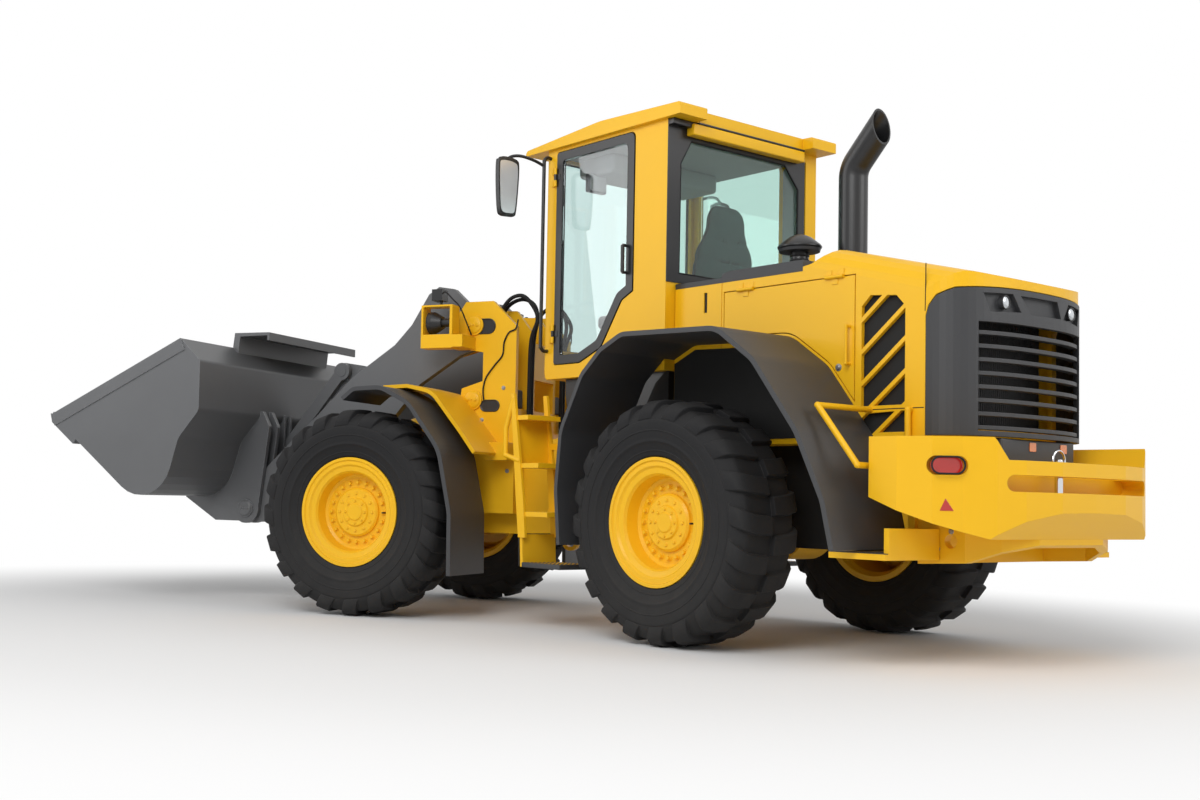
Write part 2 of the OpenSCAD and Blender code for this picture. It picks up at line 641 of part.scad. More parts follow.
// A strip of such a ring across the mouth
module grille_band(outer, inner, z, h) intersection() {
    translate([0, 0, z]) linear_extrude(h) grille_ring(outer, inner);
    box([-1800, -MOUTH[0] - 12, z - 1], [-1400, MOUTH[0] + 12, z + h + 1]);
}
module grille() color(DARK) rear() {
    grille_hinges(true);
    difference() {
        intersection() {
            translate([0, 0, 1170]) linear_extrude(770) grille_ring(grille_proud, -24);
            across(-700, 700) polygon(concat([[grille_x - seam, 1100]], arch(6), [[-1706, 1100]]));
        }
        box([-1800, -MOUTH[0], MOUTH[1]], [-1450, MOUTH[0], MOUTH[2]]);
        lengthwise(-1800, -1450) {
            polygon([[203, 1892], [-133, 1895], [-173, 1808], [118, 1801]]);
            for (side = [-1, 1])
                polygon([[450 * side, 1890], [262 * side, 1896], [199 * side, 1807], [413 * side, 1795]]);
        }
    }
    for (i = [0:7]) grille_band(-4, -48, 1203 + i * 68.3, 20);
    grille_band(-20, -38, 1780, 122);
    both_sides() translate([-1598, 310, 1850]) rotate([0, 90, 0]) cylinder(h = 40, r = 34, $fn = 32);
}
// Exhaust: a flared foot, a bend backwards, and an open tip that is cut off nearly upright
stack_bend = 42;
stack_turn_r = 150;
module stack_bore(r, tall) {
    translate([0, 0, 400]) cylinder(h = 175, r = r, $fn = 48);
    translate([-stack_turn_r, 0, 574]) rotate([90, 0, 0]) rotate_extrude(angle = stack_bend, $fn = 64)
        translate([stack_turn_r, 0]) circle(r = r, $fn = 48);
    translate([-stack_turn_r, 0, 574]) rotate([0, -stack_bend, 0]) translate([stack_turn_r, 0, -1])
        cylinder(h = tall, r = r, $fn = 48);
}
module exhaust() color(DARK) rear() translate([stack_x, 0, deck_z + seat_gap]) difference() {
    union() {
        cylinder(h = 90, r1 = stack_r + 55, r2 = stack_r, $fn = 48);
        translate([0, 0, 85]) cylinder(h = 320, r = stack_r - 4, $fn = 48);
        stack_bore(stack_r - 4, 320);
    }
    stack_bore(stack_r - 14, 340);
    rotate([0, 8, 0]) box([-500, -200, 400], [-310, 200, 1200]);
}

// Cab
cab_x0 = 420;
cab_x1 = 1540;
cab_base_z = 1250.3;
cab_sill_z = 1600;
door_x0 = 700;
door_x1 = 1450;
roof_low_z = 3140;
door_rim = 58;
CAB_DOOR = [[door_x1, roof_low_z - 20], [door_x0, roof_low_z - 20], [door_x0, 2110], [800, 2060],
    [985, 1775], [1190, 1690],
            [door_x1, 1690]];
cab_door_r = [20, 40, 0, 60, 60, 60, 20];
CAB_HINGES = [1900, 2950];
door_proud = 6;
module cab_hinges(moving)
    for (z = CAB_HINGES)
        translate([door_x1 - seam / 2, cab_half + door_proud + hinge_r, z]) mirror([1, 0, 0])
            hinge(moving, hinge_r + 0.5 + (moving ? 0 : door_proud));
module cab_frame() color(YELLOW) rear() {
    cab_hinges(false);
    // Side walls with the door's opening, corner posts, rear and front walls, headers and floor
    both_sides() {
        across(cab_half - wall_t, cab_half) difference() {
            polygon([[cab_x0, cab_sill_z], [cab_x1 - 20, cab_sill_z], [cab_x1, cab_sill_z + 40],
                     [cab_x1, roof_low_z], [cab_x0, roof_low_z]]);
            polygon(loop(CAB_DOOR, cab_door_r));
        }
        box([cab_x0, cab_half - wall_t - 60, cab_sill_z], [cab_x0 + wall_t, cab_half, roof_low_z]);
        box([cab_x1 - wall_t, cab_half - wall_t - 30, cab_sill_z + 40], [cab_x1, cab_half, roof_low_z]);
    }
    for (x = [cab_x0, cab_x1 - wall_t])
        box([x, -cab_half, roof_low_z - 60], [x + wall_t, cab_half, roof_low_z]);
    box([cab_x0, -cab_half, cab_sill_z], [cab_x0 + wall_t, cab_half, 2170]);
    box([cab_x1 - wall_t, -cab_half, cab_sill_z + 10], [cab_x1 - 5, cab_half, 1800]);
    box([cab_x0, -cab_half, cab_sill_z], [cab_x1 - 20, cab_half, cab_sill_z + 30]);
}
module cab_roof() color(YELLOW) rear() difference() {
    across(-735, 735) polygon(rounded([[285, roof_low_z + 0.3], [285, roof_z - 22], [1000, roof_z],
        [1740, roof_z - 60],
                            [1740, roof_low_z + 0.3]], [0, 14, 900, 30, 0]));
    box([200, -500, roof_low_z - 40], [370, 500, roof_z + 65]);
}
module cab_interior() color(DARK) rear() {
    // Base under the cab's floor
    across(-640, 640) polygon([[440, cab_base_z], [1340, cab_base_z], [1390, 1500],
        [1390, cab_sill_z - seat_gap],
                               [440, cab_sill_z - seat_gap]]);
    // Floor mat, right console, front console and steering column
    box([480, -cab_half + wall_t + 1, cab_sill_z + 30 + seat_gap], [1480, cab_half - wall_t - 1, 1650]);
    box([500, -630, 1640], [1150, -380, 2080]);
    across(-220, 220) polygon([[1300, 1640], [1450, 1640], [1450, 1990], [1380, 1990]]);
    bar([1330, 120, 1700], [1180, 120, 2120], 28);
    translate([1180, 120, 2120]) rotate([0, -20, 0]) rotate_extrude($fn = 48) translate([190, 0])
        circle(r = 14, $fn = 16);
    bar([1000, 120, 2055], [1360, 120, 2186], 10);
    bar([1180, -66, 2120], [1180, 306, 2120], 10);
}
module seat() color(DARK) rear() {
    box([620, -150, 1650 + seat_gap], [900, 150, 1800]);
    box([560, -240, 1800], [1080, 240, 1920]);
    across(-240, 240) polygon([[560, 1915], [700, 1915], [620, 2560], [500, 2560]]);
    across(-130, 130) polygon([[510, 2570], [600, 2570], [590, 2720], [505, 2720]]);
    across(-60, 60) polygon([[520, 2540], [570, 2540], [565, 2600], [525, 2600]]);
}
module cab_windows() color(GLASS) rear() {
    // Rear, front and right panes
    box([cab_x0 + 10, -594, 2170.3], [cab_x0 + 10 + glass_t, 594, roof_low_z - 60.3]);
    box([cab_x1 - 20, -624, 1800.3], [cab_x1 - 20 + glass_t, 624, roof_low_z - 60.3]);
    across(-cab_half + 6, -cab_half + 6 + glass_t) polygon(loop(inset(CAB_DOOR, seat_gap), cab_door_r));
}
module cab_door() color(DARK) rear() {
    y0 = cab_half - 26;
    difference() {
        across(y0, cab_half + door_proud) polygon(loop(inset(CAB_DOOR, seam), cab_door_r));
        across(y0 - 1, cab_half + door_proud + 1)
            polygon(loop(inset(CAB_DOOR, seam + door_rim), cab_door_r));
    }
    cab_hinges(true);
    bar([760, cab_half + 4, 2230], [760, cab_half + 40, 2230], 10);
    bar([760, cab_half + 40, 2230], [760, cab_half + 40, 2400], 12);
    bar([760, cab_half + 4, 2400], [760, cab_half + 40, 2400], 10);
}
module cab_door_glass() color(GLASS) rear()
    across(cab_half - 14, cab_half - 14 + glass_t)
        polygon(loop(inset(CAB_DOOR, seam + door_rim + seat_gap), cab_door_r));

// Fenders
function rear_fender_path() =
    rounded([[776, 531], [808, 860], [773, 1221], [594, 1549], [430, 1690], [250, 1770],
                                       [-480, 1745], [-740, 1560], [-1030, 1180], [-1200, 830],
                                           [-1258, 590]],
                                      [0, 300, 200, 160, 100, 160, 200, 240, 300, 240, 0], 4);
module rear_fenders() color(DARK) rear() both_sides() difference() {
    across(hood_half + seat_gap, fender_y) polygon(strip(rear_fender_path(), fender_t));
    box([cab_x0 - seam, hood_half, 1100], [900, cab_half + seam, 1900]);
}
function front_fender_path() =
    rounded([[3040, 1430], FENDER_TOP[0], FENDER_TOP[1], [2560, 1400], [2330, 1100], [2245, 700],
                                [2240, 300]], [0, 60, 160, 220, 300, 300, 0], 4);
module front_fenders() color(DARK) front() both_sides() {
    across(fender_y - 500, fender_y) polygon(strip(front_fender_path(), -fender_t));
}

// Ladders, handrails and the mirrors
module ladders() color(YELLOW) rear() both_sides() {
    // Inner and outer stiles, treads between them, a panel behind the upper two, and the stays
    for (y = [860, 1130]) across(y, y + 20)
        polygon([[1300, 1470], [1334, 1470], [1262, 800], [1232, 560], [1165, 560], [1190, 800]]);
    for (t = [[1330, 1170, 1332], [1026, 1060, 1298], [722, 965, 1260]])
        box([t[1], 870, t[0] - 30], [t[2], 1140, t[0]]);
    across(868, 1142) polygon([[1200, 580], [1225, 580], [1213, 380], [1188, 380]]);
    across(868, 1142) polygon([[1262, 1010], [1282, 1010], [1312, 1320], [1292, 1320]]);
    box([840, 868, 378], [1213, 1142, 405]);
    for (z = [700, 1119]) {
        box([1085, 410.3, z], [1125, 880, z + 40]);
        box([1085, 860, z], [1265, 880, z + 40]);
    }
    // Loop rail beside the ladder, and the grab bar behind the wheel
    tube_path([[1315, 1140, 1440], [1385, 1140, 1250], [1385, 1140, 1080], [1235, 1140, 1040]], rail_r);
    tube_path([[-1015, hood_half + seat_gap, 1310], [-1015, 1050, 1310], [-1262, 1050, 1006],
        [-1262, 645, 1000],
               [-1262, 645, 1300], [-1262, hood_half + seat_gap, 1300]], rail_r);
}
module mirrors() color(DARK) rear() both_sides() {
    tube_path([[1515, cab_half + seat_gap, 3090], [1515, cab_half + 60, 3090], [1515, cab_half + 60, 1790],
               [1515, cab_half + seat_gap, 1790]], 13);
    bar([1515, cab_half + 60, 2950], [1590, 1000, 2950], 12);
    box([1560, 930, 2660], [1600, 1110, 3060]);
}

// Lamps in front of the tower
module front_lamps() color(DARK) front() both_sides() {
    translate([LAMP[0], LAMP[1], LAMP[2]]) rotate([0, 90, 0]) {
        translate([0, 0, -80 + seat_gap]) cylinder(h = 90, r = 30, $fn = 24);
        cylinder(h = 60, r1 = 44, r2 = 76, $fn = 40);
        translate([0, 0, 59]) cylinder(h = 34, r = 76, $fn = 40);
    }
    // Work lamp on top of the bracket
    translate([LAMP[0] + 20, LAMP[1], LAMP[2] + 118.3]) cylinder(h = 40, r = 12, $fn = 24);
    translate([LAMP[0] - 10, LAMP[1] - 45, LAMP[2] + 150]) cube([80, 90, 80]);
}

// Lift arms: two side plates, a cross tube, ears for the cylinders and the bellcrank
function arm_outline() = concat(
    arc(NOSE, 128, -60, 48, 8),
    [[3950, 1190], [3723, 1385], [3440, 1654], [3089, 1886], [2954, 2026], [2820, 2240], [2740, 2290],
        [2620, 2270]],
    arc(ARM, 150, 70, 250, 10),
    [[2560, 1800], [2877, 1600], [3180, 1260], [3440, 1050], [3800, 770], [4120, 590]]
);
module lift_arms() color(STEEL) front() difference() {
    union() {
        both_sides() {
            across(arm_y - arm_t / 2, arm_y + arm_t / 2) polygon(arm_outline());
            rod_y(NOSE, arm_y - arm_t / 2 - 2, arm_y + arm_t / 2 + 2, 110);
            rod_y(ARM, inner_y - plate_t / 2 + 10, outer_y + plate_t / 2 + 10, pin_r);
            // Inner ear for the lift rod, carried by the cross tube
            across(lift_y - 100, lift_y - 68) hull() {
                translate(LIFT_EYE) circle(r = boss_r, $fn = 32);
                translate(TUBE) circle(r = tube_r + 10, $fn = 32);
            }
            rod_y(LIFT_EYE, lift_y - 112, lift_y - 99, 60);
            rod_y(LIFT_EYE, arm_y + arm_t / 2 - 1, arm_y + arm_t / 2 + 14, 60);
            // Ear for the bellcrank
            across(crank_ear_y, crank_ear_y + 36) hull() {
                translate(CRANK) circle(r = boss_r, $fn = 32);
                translate(TUBE) circle(r = tube_r, $fn = 32);
            }
        }
        rod_y(TUBE, -arm_y, arm_y, tube_r);
    }
    rod_y(NOSE, -600, 600, pin_r + pin_gap);
    rod_y(CRANK, -400, 400, pin_r + pin_gap);
}
crank_ear_y = link_y + link_t / 2 + side_gap;

// Bellcrank of two plates, with the tilt rod's eye between them and the links outside
module bellcrank() color(STEEL) front() difference() {
    union() {
        both_sides() across(crank_y - crank_t / 2, crank_y + crank_t / 2) {
            hull() {
                translate(CRANK) circle(r = boss_r + 6, $fn = 32);
                translate(TILT_EYE) circle(r = boss_r - 8, $fn = 32);
                translate(LINK_REAR) circle(r = boss_r - 8, $fn = 32);
            }
        }
        both_sides() {
            rod_y(TILT_EYE, crank_y + crank_t / 2 - 1, crank_y + crank_t / 2 + 4, 50);
            rod_y(LINK_REAR, crank_y, link_y + link_t / 2 + 3, pin_r - 4);
            rod_y(CRANK, crank_y, crank_ear_y + 44, pin_r);
        }
        rod_y(CRANK, -crank_y, crank_y, 60);
    }
}
module tilt_links() color(STEEL) front() both_sides() difference() {
    across(link_y - link_t / 2, link_y + link_t / 2) union() {
        hull() for (p = [LINK_REAR, LINK_FRONT]) translate(p) circle(r = 44, $fn = 32);
        for (p = [LINK_REAR, LINK_FRONT]) translate(p) circle(r = 66, $fn = 48);
    }
    rod_y(LINK_REAR, 0, 400, pin_r - 4 + pin_gap);
    rod_y(LINK_FRONT, 0, 400, pin_r - 4 + pin_gap);
}

// Cylinders, each a barrel from its base eye and a rod to its own eye
module barrel(p, q, y, r, rod_r, base_pin, long, eye_w) {
    d = norm(q - p);
    translate([p[0], y, p[1]]) rotate([0, -atan2(q[1] - p[1], q[0] - p[0]), 0]) difference() {
        union() {
            rotate([90, 0, 0]) cylinder(h = eye_w, r = base_pin + 34, center = true, $fn = 48);
            translate([30, 0, 0]) rotate([0, 90, 0]) cylinder(h = long - 30, r = r, $fn = 48);
            translate([long - 60, 0, 0]) rotate([0, 90, 0]) cylinder(h = 60, r = r + 8, $fn = 48);
        }
        rotate([90, 0, 0]) cylinder(h = 400, r = base_pin + pin_gap, center = true, $fn = 48);
        translate([base_pin + 50, 0, 0]) rotate([0, 90, 0])
            cylinder(h = long, r = rod_r + pin_gap, $fn = 48);
    }
}
module rod(p, q, y, rod_r, eye_r, pin, long, eye_w) {
    translate([q[0], y, q[1]]) rotate([0, -atan2(q[1] - p[1], q[0] - p[0]), 0]) difference() {
        union() {
            rotate([90, 0, 0]) cylinder(h = eye_w, r = eye_r, center = true, $fn = 48);
            translate([-long, 0, 0]) rotate([0, 90, 0]) cylinder(h = long - 10, r = rod_r, $fn = 48);
        }
        rotate([90, 0, 0]) cylinder(h = 400, r = pin, center = true, $fn = 48);
    }
}
lift_long = norm(LIFT_EYE - LIFT_BASE) - 165;
lift_rod_long = 930;
module lift_barrel(side) color(YELLOW) front()
    barrel(LIFT_BASE, LIFT_EYE, side * lift_y, lift_r, lift_rod_r, pin_r, lift_long, 100);
module lift_rod(side) color(CHROME) front()
    rod(LIFT_BASE, LIFT_EYE, side * lift_y, lift_rod_r, 74, pin_r, lift_rod_long, 100);
tilt_long = norm(TILT_EYE - ARM) - 150;
tilt_rod_long = 1015;
module tilt_barrel() color(YELLOW) front()
    barrel(ARM, TILT_EYE, 0, tilt_r, tilt_rod_r, pin_r, tilt_long, 110);
module tilt_rod() color(CHROME) front() rod(ARM, TILT_EYE, 0, tilt_rod_r, 70, pin_r, tilt_rod_long, 110);

// Bucket: rolled shell, side plates with cutters, cutting edge, ears, spill guard
function shell_path() = rounded([TIP, HEEL, BELLY, SHOULDER, BACK, CREST], [0, 271, 160, 60, 30, 0], 8);
LIP = unit(TIP - HEEL);
LIP_IN = 6 * [-LIP[1], LIP[0]];
LIP_DOWN = 42 * [LIP[1], -LIP[0]];
module bucket() color(STEEL) front() {
    half = bucket_w / 2;
    difference() {
        union() {
            across(-half + 2, half - 2) polygon(strip(shell_path(), -shell_t));
            both_sides() {
                across(half - side_t, half) polygon(shell_path());
                // Cutter along the open edge
                across(half - side_t - 10, half + 8) polygon(strip([TIP, CREST], 90));
            }
            // Cutting edge
            across(-half, half) polygon([TIP + 14 * LIP, TIP + LIP_IN, TIP - 300 * LIP + LIP_IN,
                                         TIP - 300 * LIP + LIP_DOWN, TIP - 40 * LIP + LIP_DOWN]);
            // Ears for the lift arms and the links
            both_sides() {
                for (y = [arm_y - arm_t / 2 - side_gap - ear_t - 2, arm_y + arm_t / 2 + side_gap + 2])
                    across(y, y + ear_t) arm_ear();
                for (y = [link_y - link_t / 2 - side_gap - 20, link_y + link_t / 2 + side_gap])
                    across(y, y + 20) link_ear();
                rod_y(NOSE, arm_y - arm_t / 2 - side_gap - ear_t - 12,
                    arm_y + arm_t / 2 + side_gap + ear_t + 14, pin_r);
                rod_y(NOSE, arm_y + arm_t / 2 + side_gap + ear_t, arm_y + arm_t / 2 + side_gap + ear_t + 14,
                    66);
            }
            // Spill guard
            across(-620, 620) polygon([CREST + [6, -12], CREST + [-10, 110], [4060, 1990], [4060, 1930],
                               [4075, 1930], [4075, 1968], [4320, 1965], [4335, 1832]]);
        }
        across(-half + side_t, half - side_t)
            polygon(concat(shifted(shell_path(), -shell_t), [[4600, 2400], [6000, 1800]]));
    }
}
module arm_ear() {
    translate(NOSE) circle(r = 112, $fn = 48);
    polygon([[4180, 1410], [4120, 1300], [4200, 700], [4254, 589], [4583, 590], [4866, 760],
             [4866, 860], [4500, 1000], [4420, 1400]]);
}
module link_ear() {
    translate(LINK_FRONT) circle(r = 72, $fn = 48);
    polygon([LINK_FRONT + [-40, 60], [4190, 1400], [4420, 1400], [4500, 900], [4440, 860],
        LINK_FRONT + [-20, -68]]);
}

// Steering cylinders lie flat
module steer_line(side) {
    eye = pivot_turn([STEER_EYE[0], side * STEER_EYE[1]]);
    base = [STEER_BASE[0], side * STEER_BASE[1]];
    d = eye - base;
    translate([base[0], base[1], steer_z]) rotate([0, 0, atan2(d[1], d[0])]) children();
}
function pivot_turn(p) = let (d = p - [pivot_x, 0])
    [pivot_x + d[0] * cos(steer) - d[1] * sin(steer), d[0] * sin(steer) + d[1] * cos(steer)];
function steer_span(side) =
    norm(pivot_turn([STEER_EYE[0], side * STEER_EYE[1]]) - [STEER_BASE[0], side * STEER_BASE[1]]);
module steer_barrel(side) color(YELLOW) rear() steer_line(side) difference() {
    union() {
        cylinder(h = 60, r = 40, center = true, $fn = 32);
        translate([20, 0, 0]) rotate([0, 90, 0]) cylinder(h = 50, r = 30, $fn = 32);
        translate([64, 0, 0]) rotate([0, 90, 0]) cylinder(h = 696, r = steer_r, $fn = 32);
    }
    cylinder(h = 200, r = steer_pin_r + pin_gap, center = true, $fn = 32);
    translate([60, 0, 0]) rotate([0, 90, 0]) cylinder(h = 900, r = steer_rod_r + pin_gap, $fn = 32);
}
module steer_rod(side) color(CHROME) rear() steer_line(side) translate([steer_span(side), 0, 0]) {
    cylinder(h = 60, r = 40, center = true, $fn = 32);
    translate([-steer_rod_long, 0, 0]) rotate([0, 90, 0])
        cylinder(h = steer_rod_long - 10, r = steer_rod_r, $fn = 32);
}

rear_frame();
rear_axle();
counterweight();
engine_block();
hood();
hood_deck();
grille();
engine_door(1);  // engine_door_left
engine_door(-1);  // engine_door_right
exhaust();
cab_frame();
cab_roof();
cab_interior();
cab_windows();
cab_door();
cab_door_glass();
seat();
rear_fenders();
ladders();
mirrors();
rear_lamps();
front_frame();
front_axle();
front_fenders();
front_lamps();
lift_arms();
lift_barrel(1);  // lift_barrel_left
lift_barrel(-1);  // lift_barrel_right
lift_rod(1);  // lift_rod_left
lift_rod(-1);  // lift_rod_right
tilt_barrel();
tilt_rod();
bellcrank();
tilt_links();
bucket();
steer_barrel(1);  // steer_barrel_left
steer_barrel(-1);  // steer_barrel_right
steer_rod(1);  // steer_rod_left
steer_rod(-1);  // steer_rod_right
front() wheel_at(wheelbase, 1) tyre();  // tyre_front_left
front() wheel_at(wheelbase, -1) tyre();  // tyre_front_right
rear() wheel_at(0, 1) tyre();  // tyre_rear_left
rear() wheel_at(0, -1) tyre();  // tyre_rear_right
front() wheel_at(wheelbase, 1) rim();  // rim_front_left
front() wheel_at(wheelbase, -1) rim();  // rim_front_right
rear() wheel_at(0, 1) rim();  // rim_rear_left
rear() wheel_at(0, -1) rim();  // rim_rear_right
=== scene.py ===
"""Articulated wheel loader: finishes and fine pieces round the fixed frame."""
import json
import math

import bmesh
import bpy
import numpy as np
from mathutils import Matrix, Vector


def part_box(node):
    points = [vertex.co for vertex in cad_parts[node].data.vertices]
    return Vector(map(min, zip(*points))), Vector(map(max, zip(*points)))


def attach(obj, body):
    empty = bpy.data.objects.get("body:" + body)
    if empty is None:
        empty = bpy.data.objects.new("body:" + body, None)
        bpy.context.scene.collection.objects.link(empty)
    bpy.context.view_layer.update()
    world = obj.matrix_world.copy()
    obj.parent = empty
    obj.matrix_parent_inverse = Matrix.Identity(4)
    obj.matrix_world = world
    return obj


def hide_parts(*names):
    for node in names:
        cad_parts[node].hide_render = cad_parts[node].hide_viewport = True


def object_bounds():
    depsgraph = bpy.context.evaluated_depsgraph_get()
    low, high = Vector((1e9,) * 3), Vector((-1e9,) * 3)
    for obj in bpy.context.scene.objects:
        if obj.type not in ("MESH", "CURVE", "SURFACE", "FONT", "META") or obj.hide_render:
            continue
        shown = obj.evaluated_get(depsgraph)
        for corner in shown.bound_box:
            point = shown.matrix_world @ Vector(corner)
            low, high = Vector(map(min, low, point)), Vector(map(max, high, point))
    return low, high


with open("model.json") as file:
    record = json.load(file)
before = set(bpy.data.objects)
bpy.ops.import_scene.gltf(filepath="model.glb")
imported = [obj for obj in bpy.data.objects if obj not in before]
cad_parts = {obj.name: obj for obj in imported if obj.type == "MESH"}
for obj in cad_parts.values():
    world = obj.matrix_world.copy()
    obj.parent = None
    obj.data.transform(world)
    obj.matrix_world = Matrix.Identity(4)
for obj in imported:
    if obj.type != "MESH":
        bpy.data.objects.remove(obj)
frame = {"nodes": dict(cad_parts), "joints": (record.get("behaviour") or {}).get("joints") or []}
CAD_BOX = [list(corner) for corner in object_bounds()]

bl_info = {
    "name": "Wheel Loader Finish",
    "version": (1, 0, 0),
    "blender": (4, 5, 0),
    "location": "View3D > Sidebar > Loader",
    "description": "Finishes and fine pieces for an articulated wheel loader",
    "category": "Object",
}

# The machine's own coordinates: x forward from the rear axle, y left, z up. The front frame is
# turned about the upright pivot pin, by the angle at which its axle lies.
JOINTS = {joint["name"]: joint for joint in frame["joints"]}
PIVOT = np.array(JOINTS["articulation"]["pos_m"]) * (1, 1, 0)
PIVOT_X = 1.5
FRONT_AXLE = JOINTS["wheel_front_left"]["axis"]
STEER = math.atan2(-FRONT_AXLE[0], FRONT_AXLE[1])
WHEELS = ("wheel_rear_left", "wheel_rear_right", "wheel_front_left", "wheel_front_right")

# Faces of the machine that pieces stand on, as distances from the centre line
HOOD_SIDE = 0.62
CONSOLE_SIDE = 0.64
FRAME_SIDE = 0.41
CAB_SIDE = 0.7
TOWER_SIDE = 0.498
LAMP_SIDE = 0.65
# The same from the rear axle, forwards
CAB_BACK = 0.42
GRILLE_BACK = -1.6
LAMP_FACE = 2.6935
# How far a thin plate stands off the face under it
STAND_OFF = 0.0002
# The viewpoint: place, then yaw, pitch and roll in degrees, then the picture's shift
VIEW_PLACE = (-7.373, 5.775, 0.803)
VIEW_TURN = (-37.241, 2.847, 1.318)
VIEW_SHIFT = (0.1059, 0.0242)


def rear(points):
    """Machine points of the rear frame, put in the model's frame."""
    return np.asarray(points, float) + PIVOT - (PIVOT_X, 0, 0)


def front(points):
    """Machine points of the straight front frame, turned about the pivot pin."""
    c, s = math.cos(STEER), math.sin(STEER)
    turn = np.array([[c, s, 0], [-s, c, 0], [0, 0, 1]])
    return (np.asarray(points, float) - (PIVOT_X, 0, 0)) @ turn + PIVOT


def pin_of(joint):
    """The machine x and z of a pin on the front frame: the pin's distance from the pivot along
    the frame's own forward direction, and its height."""
    place = np.array(JOINTS[joint]["pos_m"], float)
    forward = front([1, 0, 0]) - front([0, 0, 0])
    return np.array([(place - PIVOT) @ forward + PIVOT_X, place[2]])


# Sizes and colours that a user would change


class PaintSettings(bpy.types.PropertyGroup):
    yellow: bpy.props.FloatVectorProperty(
        name="Yellow", description="Colour of the painted body", subtype="COLOR", size=3,
        default=(0.9, 0.5, 0.008), min=0, max=1)
    steel: bpy.props.FloatVectorProperty(
        name="Steel grey", description="Colour of the arms and the bucket", subtype="COLOR",
        size=3, default=(0.115, 0.118, 0.123), min=0, max=1)
    plastic: bpy.props.FloatVectorProperty(
        name="Dark plastic", description="Colour of the fenders and the grille",
        subtype="COLOR", size=3, default=(0.035, 0.036, 0.039), min=0, max=1)
    rubber: bpy.props.FloatVectorProperty(
        name="Rubber", description="Colour of the tyres", subtype="COLOR", size=3,
        default=(0.013, 0.013, 0.014), min=0, max=1)
    glass: bpy.props.FloatVectorProperty(
        name="Glass", description="Tint of the windows", subtype="COLOR", size=3,
        default=(0.68, 0.85, 0.8), min=0, max=1)
    fabric: bpy.props.FloatVectorProperty(
        name="Seat fabric", description="Colour of the seat's cloth", subtype="COLOR", size=3,
        default=(0.035, 0.07, 0.064), min=0, max=1)
    dust: bpy.props.FloatProperty(
        name="Dust", description="How much dust lies on upward faces and low down",
        default=0.12, min=0, max=1, subtype="FACTOR")
    edge: bpy.props.FloatProperty(
        name="Edge radius", description="Rounding that light sees on sheet edges",
        default=0.004, min=0.0005, max=0.02, unit="LENGTH")


class TyreSettings(bpy.types.PropertyGroup):
    radius: bpy.props.FloatProperty(
        name="Radius", description="Radius over the lugs", default=0.688, min=0.6, max=0.7,
        unit="LENGTH")
    width: bpy.props.FloatProperty(
        name="Width", description="Width of a tyre", default=0.48, min=0.4, max=0.55,
        unit="LENGTH")
    lug: bpy.props.FloatProperty(
        name="Lug height", description="Depth of the tread", default=0.03, min=0.01, max=0.05,
        unit="LENGTH")
    count: bpy.props.IntProperty(
        name="Lugs", description="Lugs on each side of the tread", default=20, min=12, max=30)


class TrimSettings(bpy.types.PropertyGroup):
    bolt: bpy.props.FloatProperty(
        name="Bolt", description="Half the width of a bolt's head", default=0.013, min=0.005,
        max=0.03, unit="LENGTH")
    hose: bpy.props.FloatProperty(
        name="Hose", description="Radius of a hydraulic hose", default=0.014, min=0.006,
        max=0.03, unit="LENGTH")
    seal: bpy.props.FloatProperty(
        name="Seal", description="Radius of a window's rubber seal", default=0.011, min=0.004,
        max=0.02, unit="LENGTH")


class StageSettings(bpy.types.PropertyGroup):
    floor: bpy.props.FloatVectorProperty(
        name="Floor", description="Colour of the floor", subtype="COLOR", size=3,
        default=(0.86, 0.86, 0.86), min=0, max=1)
    key: bpy.props.FloatProperty(
        name="Key light", description="Power of the large lamp", default=700, min=0, max=5000,
        unit="POWER")
    sky: bpy.props.FloatProperty(
        name="Sky", description="Strength of the even light", default=0.45, min=0, max=1)
    lens: bpy.props.FloatProperty(
        name="Lens", description="Focal length in millimetres", default=41.32, min=20, max=100)


def settings():
    """The four groups of settings, by the scene's own names."""
    scene = bpy.context.scene
    return scene.loader_paint, scene.loader_tyre, scene.loader_trim, scene.loader_stage


# Surfaces worked out as whole arrays


def quads(nu, nv, wrap_u=False, wrap_v=False):
    """Faces of a grid: corner (i, j) is number i * nv + j, and each face joins it to the next
    corner both ways. A wrapped direction joins its last corners to its first."""
    i, j = np.meshgrid(np.arange(nu - (not wrap_u)), np.arange(nv - (not wrap_v)), indexing="ij")
    i, j, k, m = i.ravel(), j.ravel(), (i.ravel() + 1) % nu, (j.ravel() + 1) % nv
    return np.stack([i * nv + j, k * nv + j, k * nv + m, i * nv + m], axis=1)


def basis(axis):
    """Unit directions (a, b, axis) at right angles, for one axis or an array of them."""
    axis = np.asarray(axis, float)
    axis = axis / np.linalg.norm(axis, axis=-1, keepdims=True)
    upright = np.abs(axis[..., 2:]) > 0.9
    guide = np.where(upright, (1.0, 0.0, 0.0), (0.0, 0.0, 1.0))
    a = np.cross(guide, axis)
    a /= np.linalg.norm(a, axis=-1, keepdims=True)
    return np.stack([a, np.cross(axis, a), axis], axis=-2)


def revolve(profile, sides=64, at=(0, 0, 0), axis=(0, 0, 1), closed=False):
    """A profile of (radius, height) turned about an axis: the point at angle t is
    at + radius * (cos t * a + sin t * b) + height * axis."""
    profile = np.asarray(profile, float)
    t = np.linspace(0, 2 * math.pi, sides, endpoint=False)[:, None]
    frame3 = basis(axis)
    local = np.stack([profile[:, 0] * np.cos(t), profile[:, 0] * np.sin(t),
                      profile[:, 1] + 0 * t], axis=-1)
    points = local.reshape(-1, 3) @ frame3 + at
    return points, quads(sides, len(profile), True, closed)


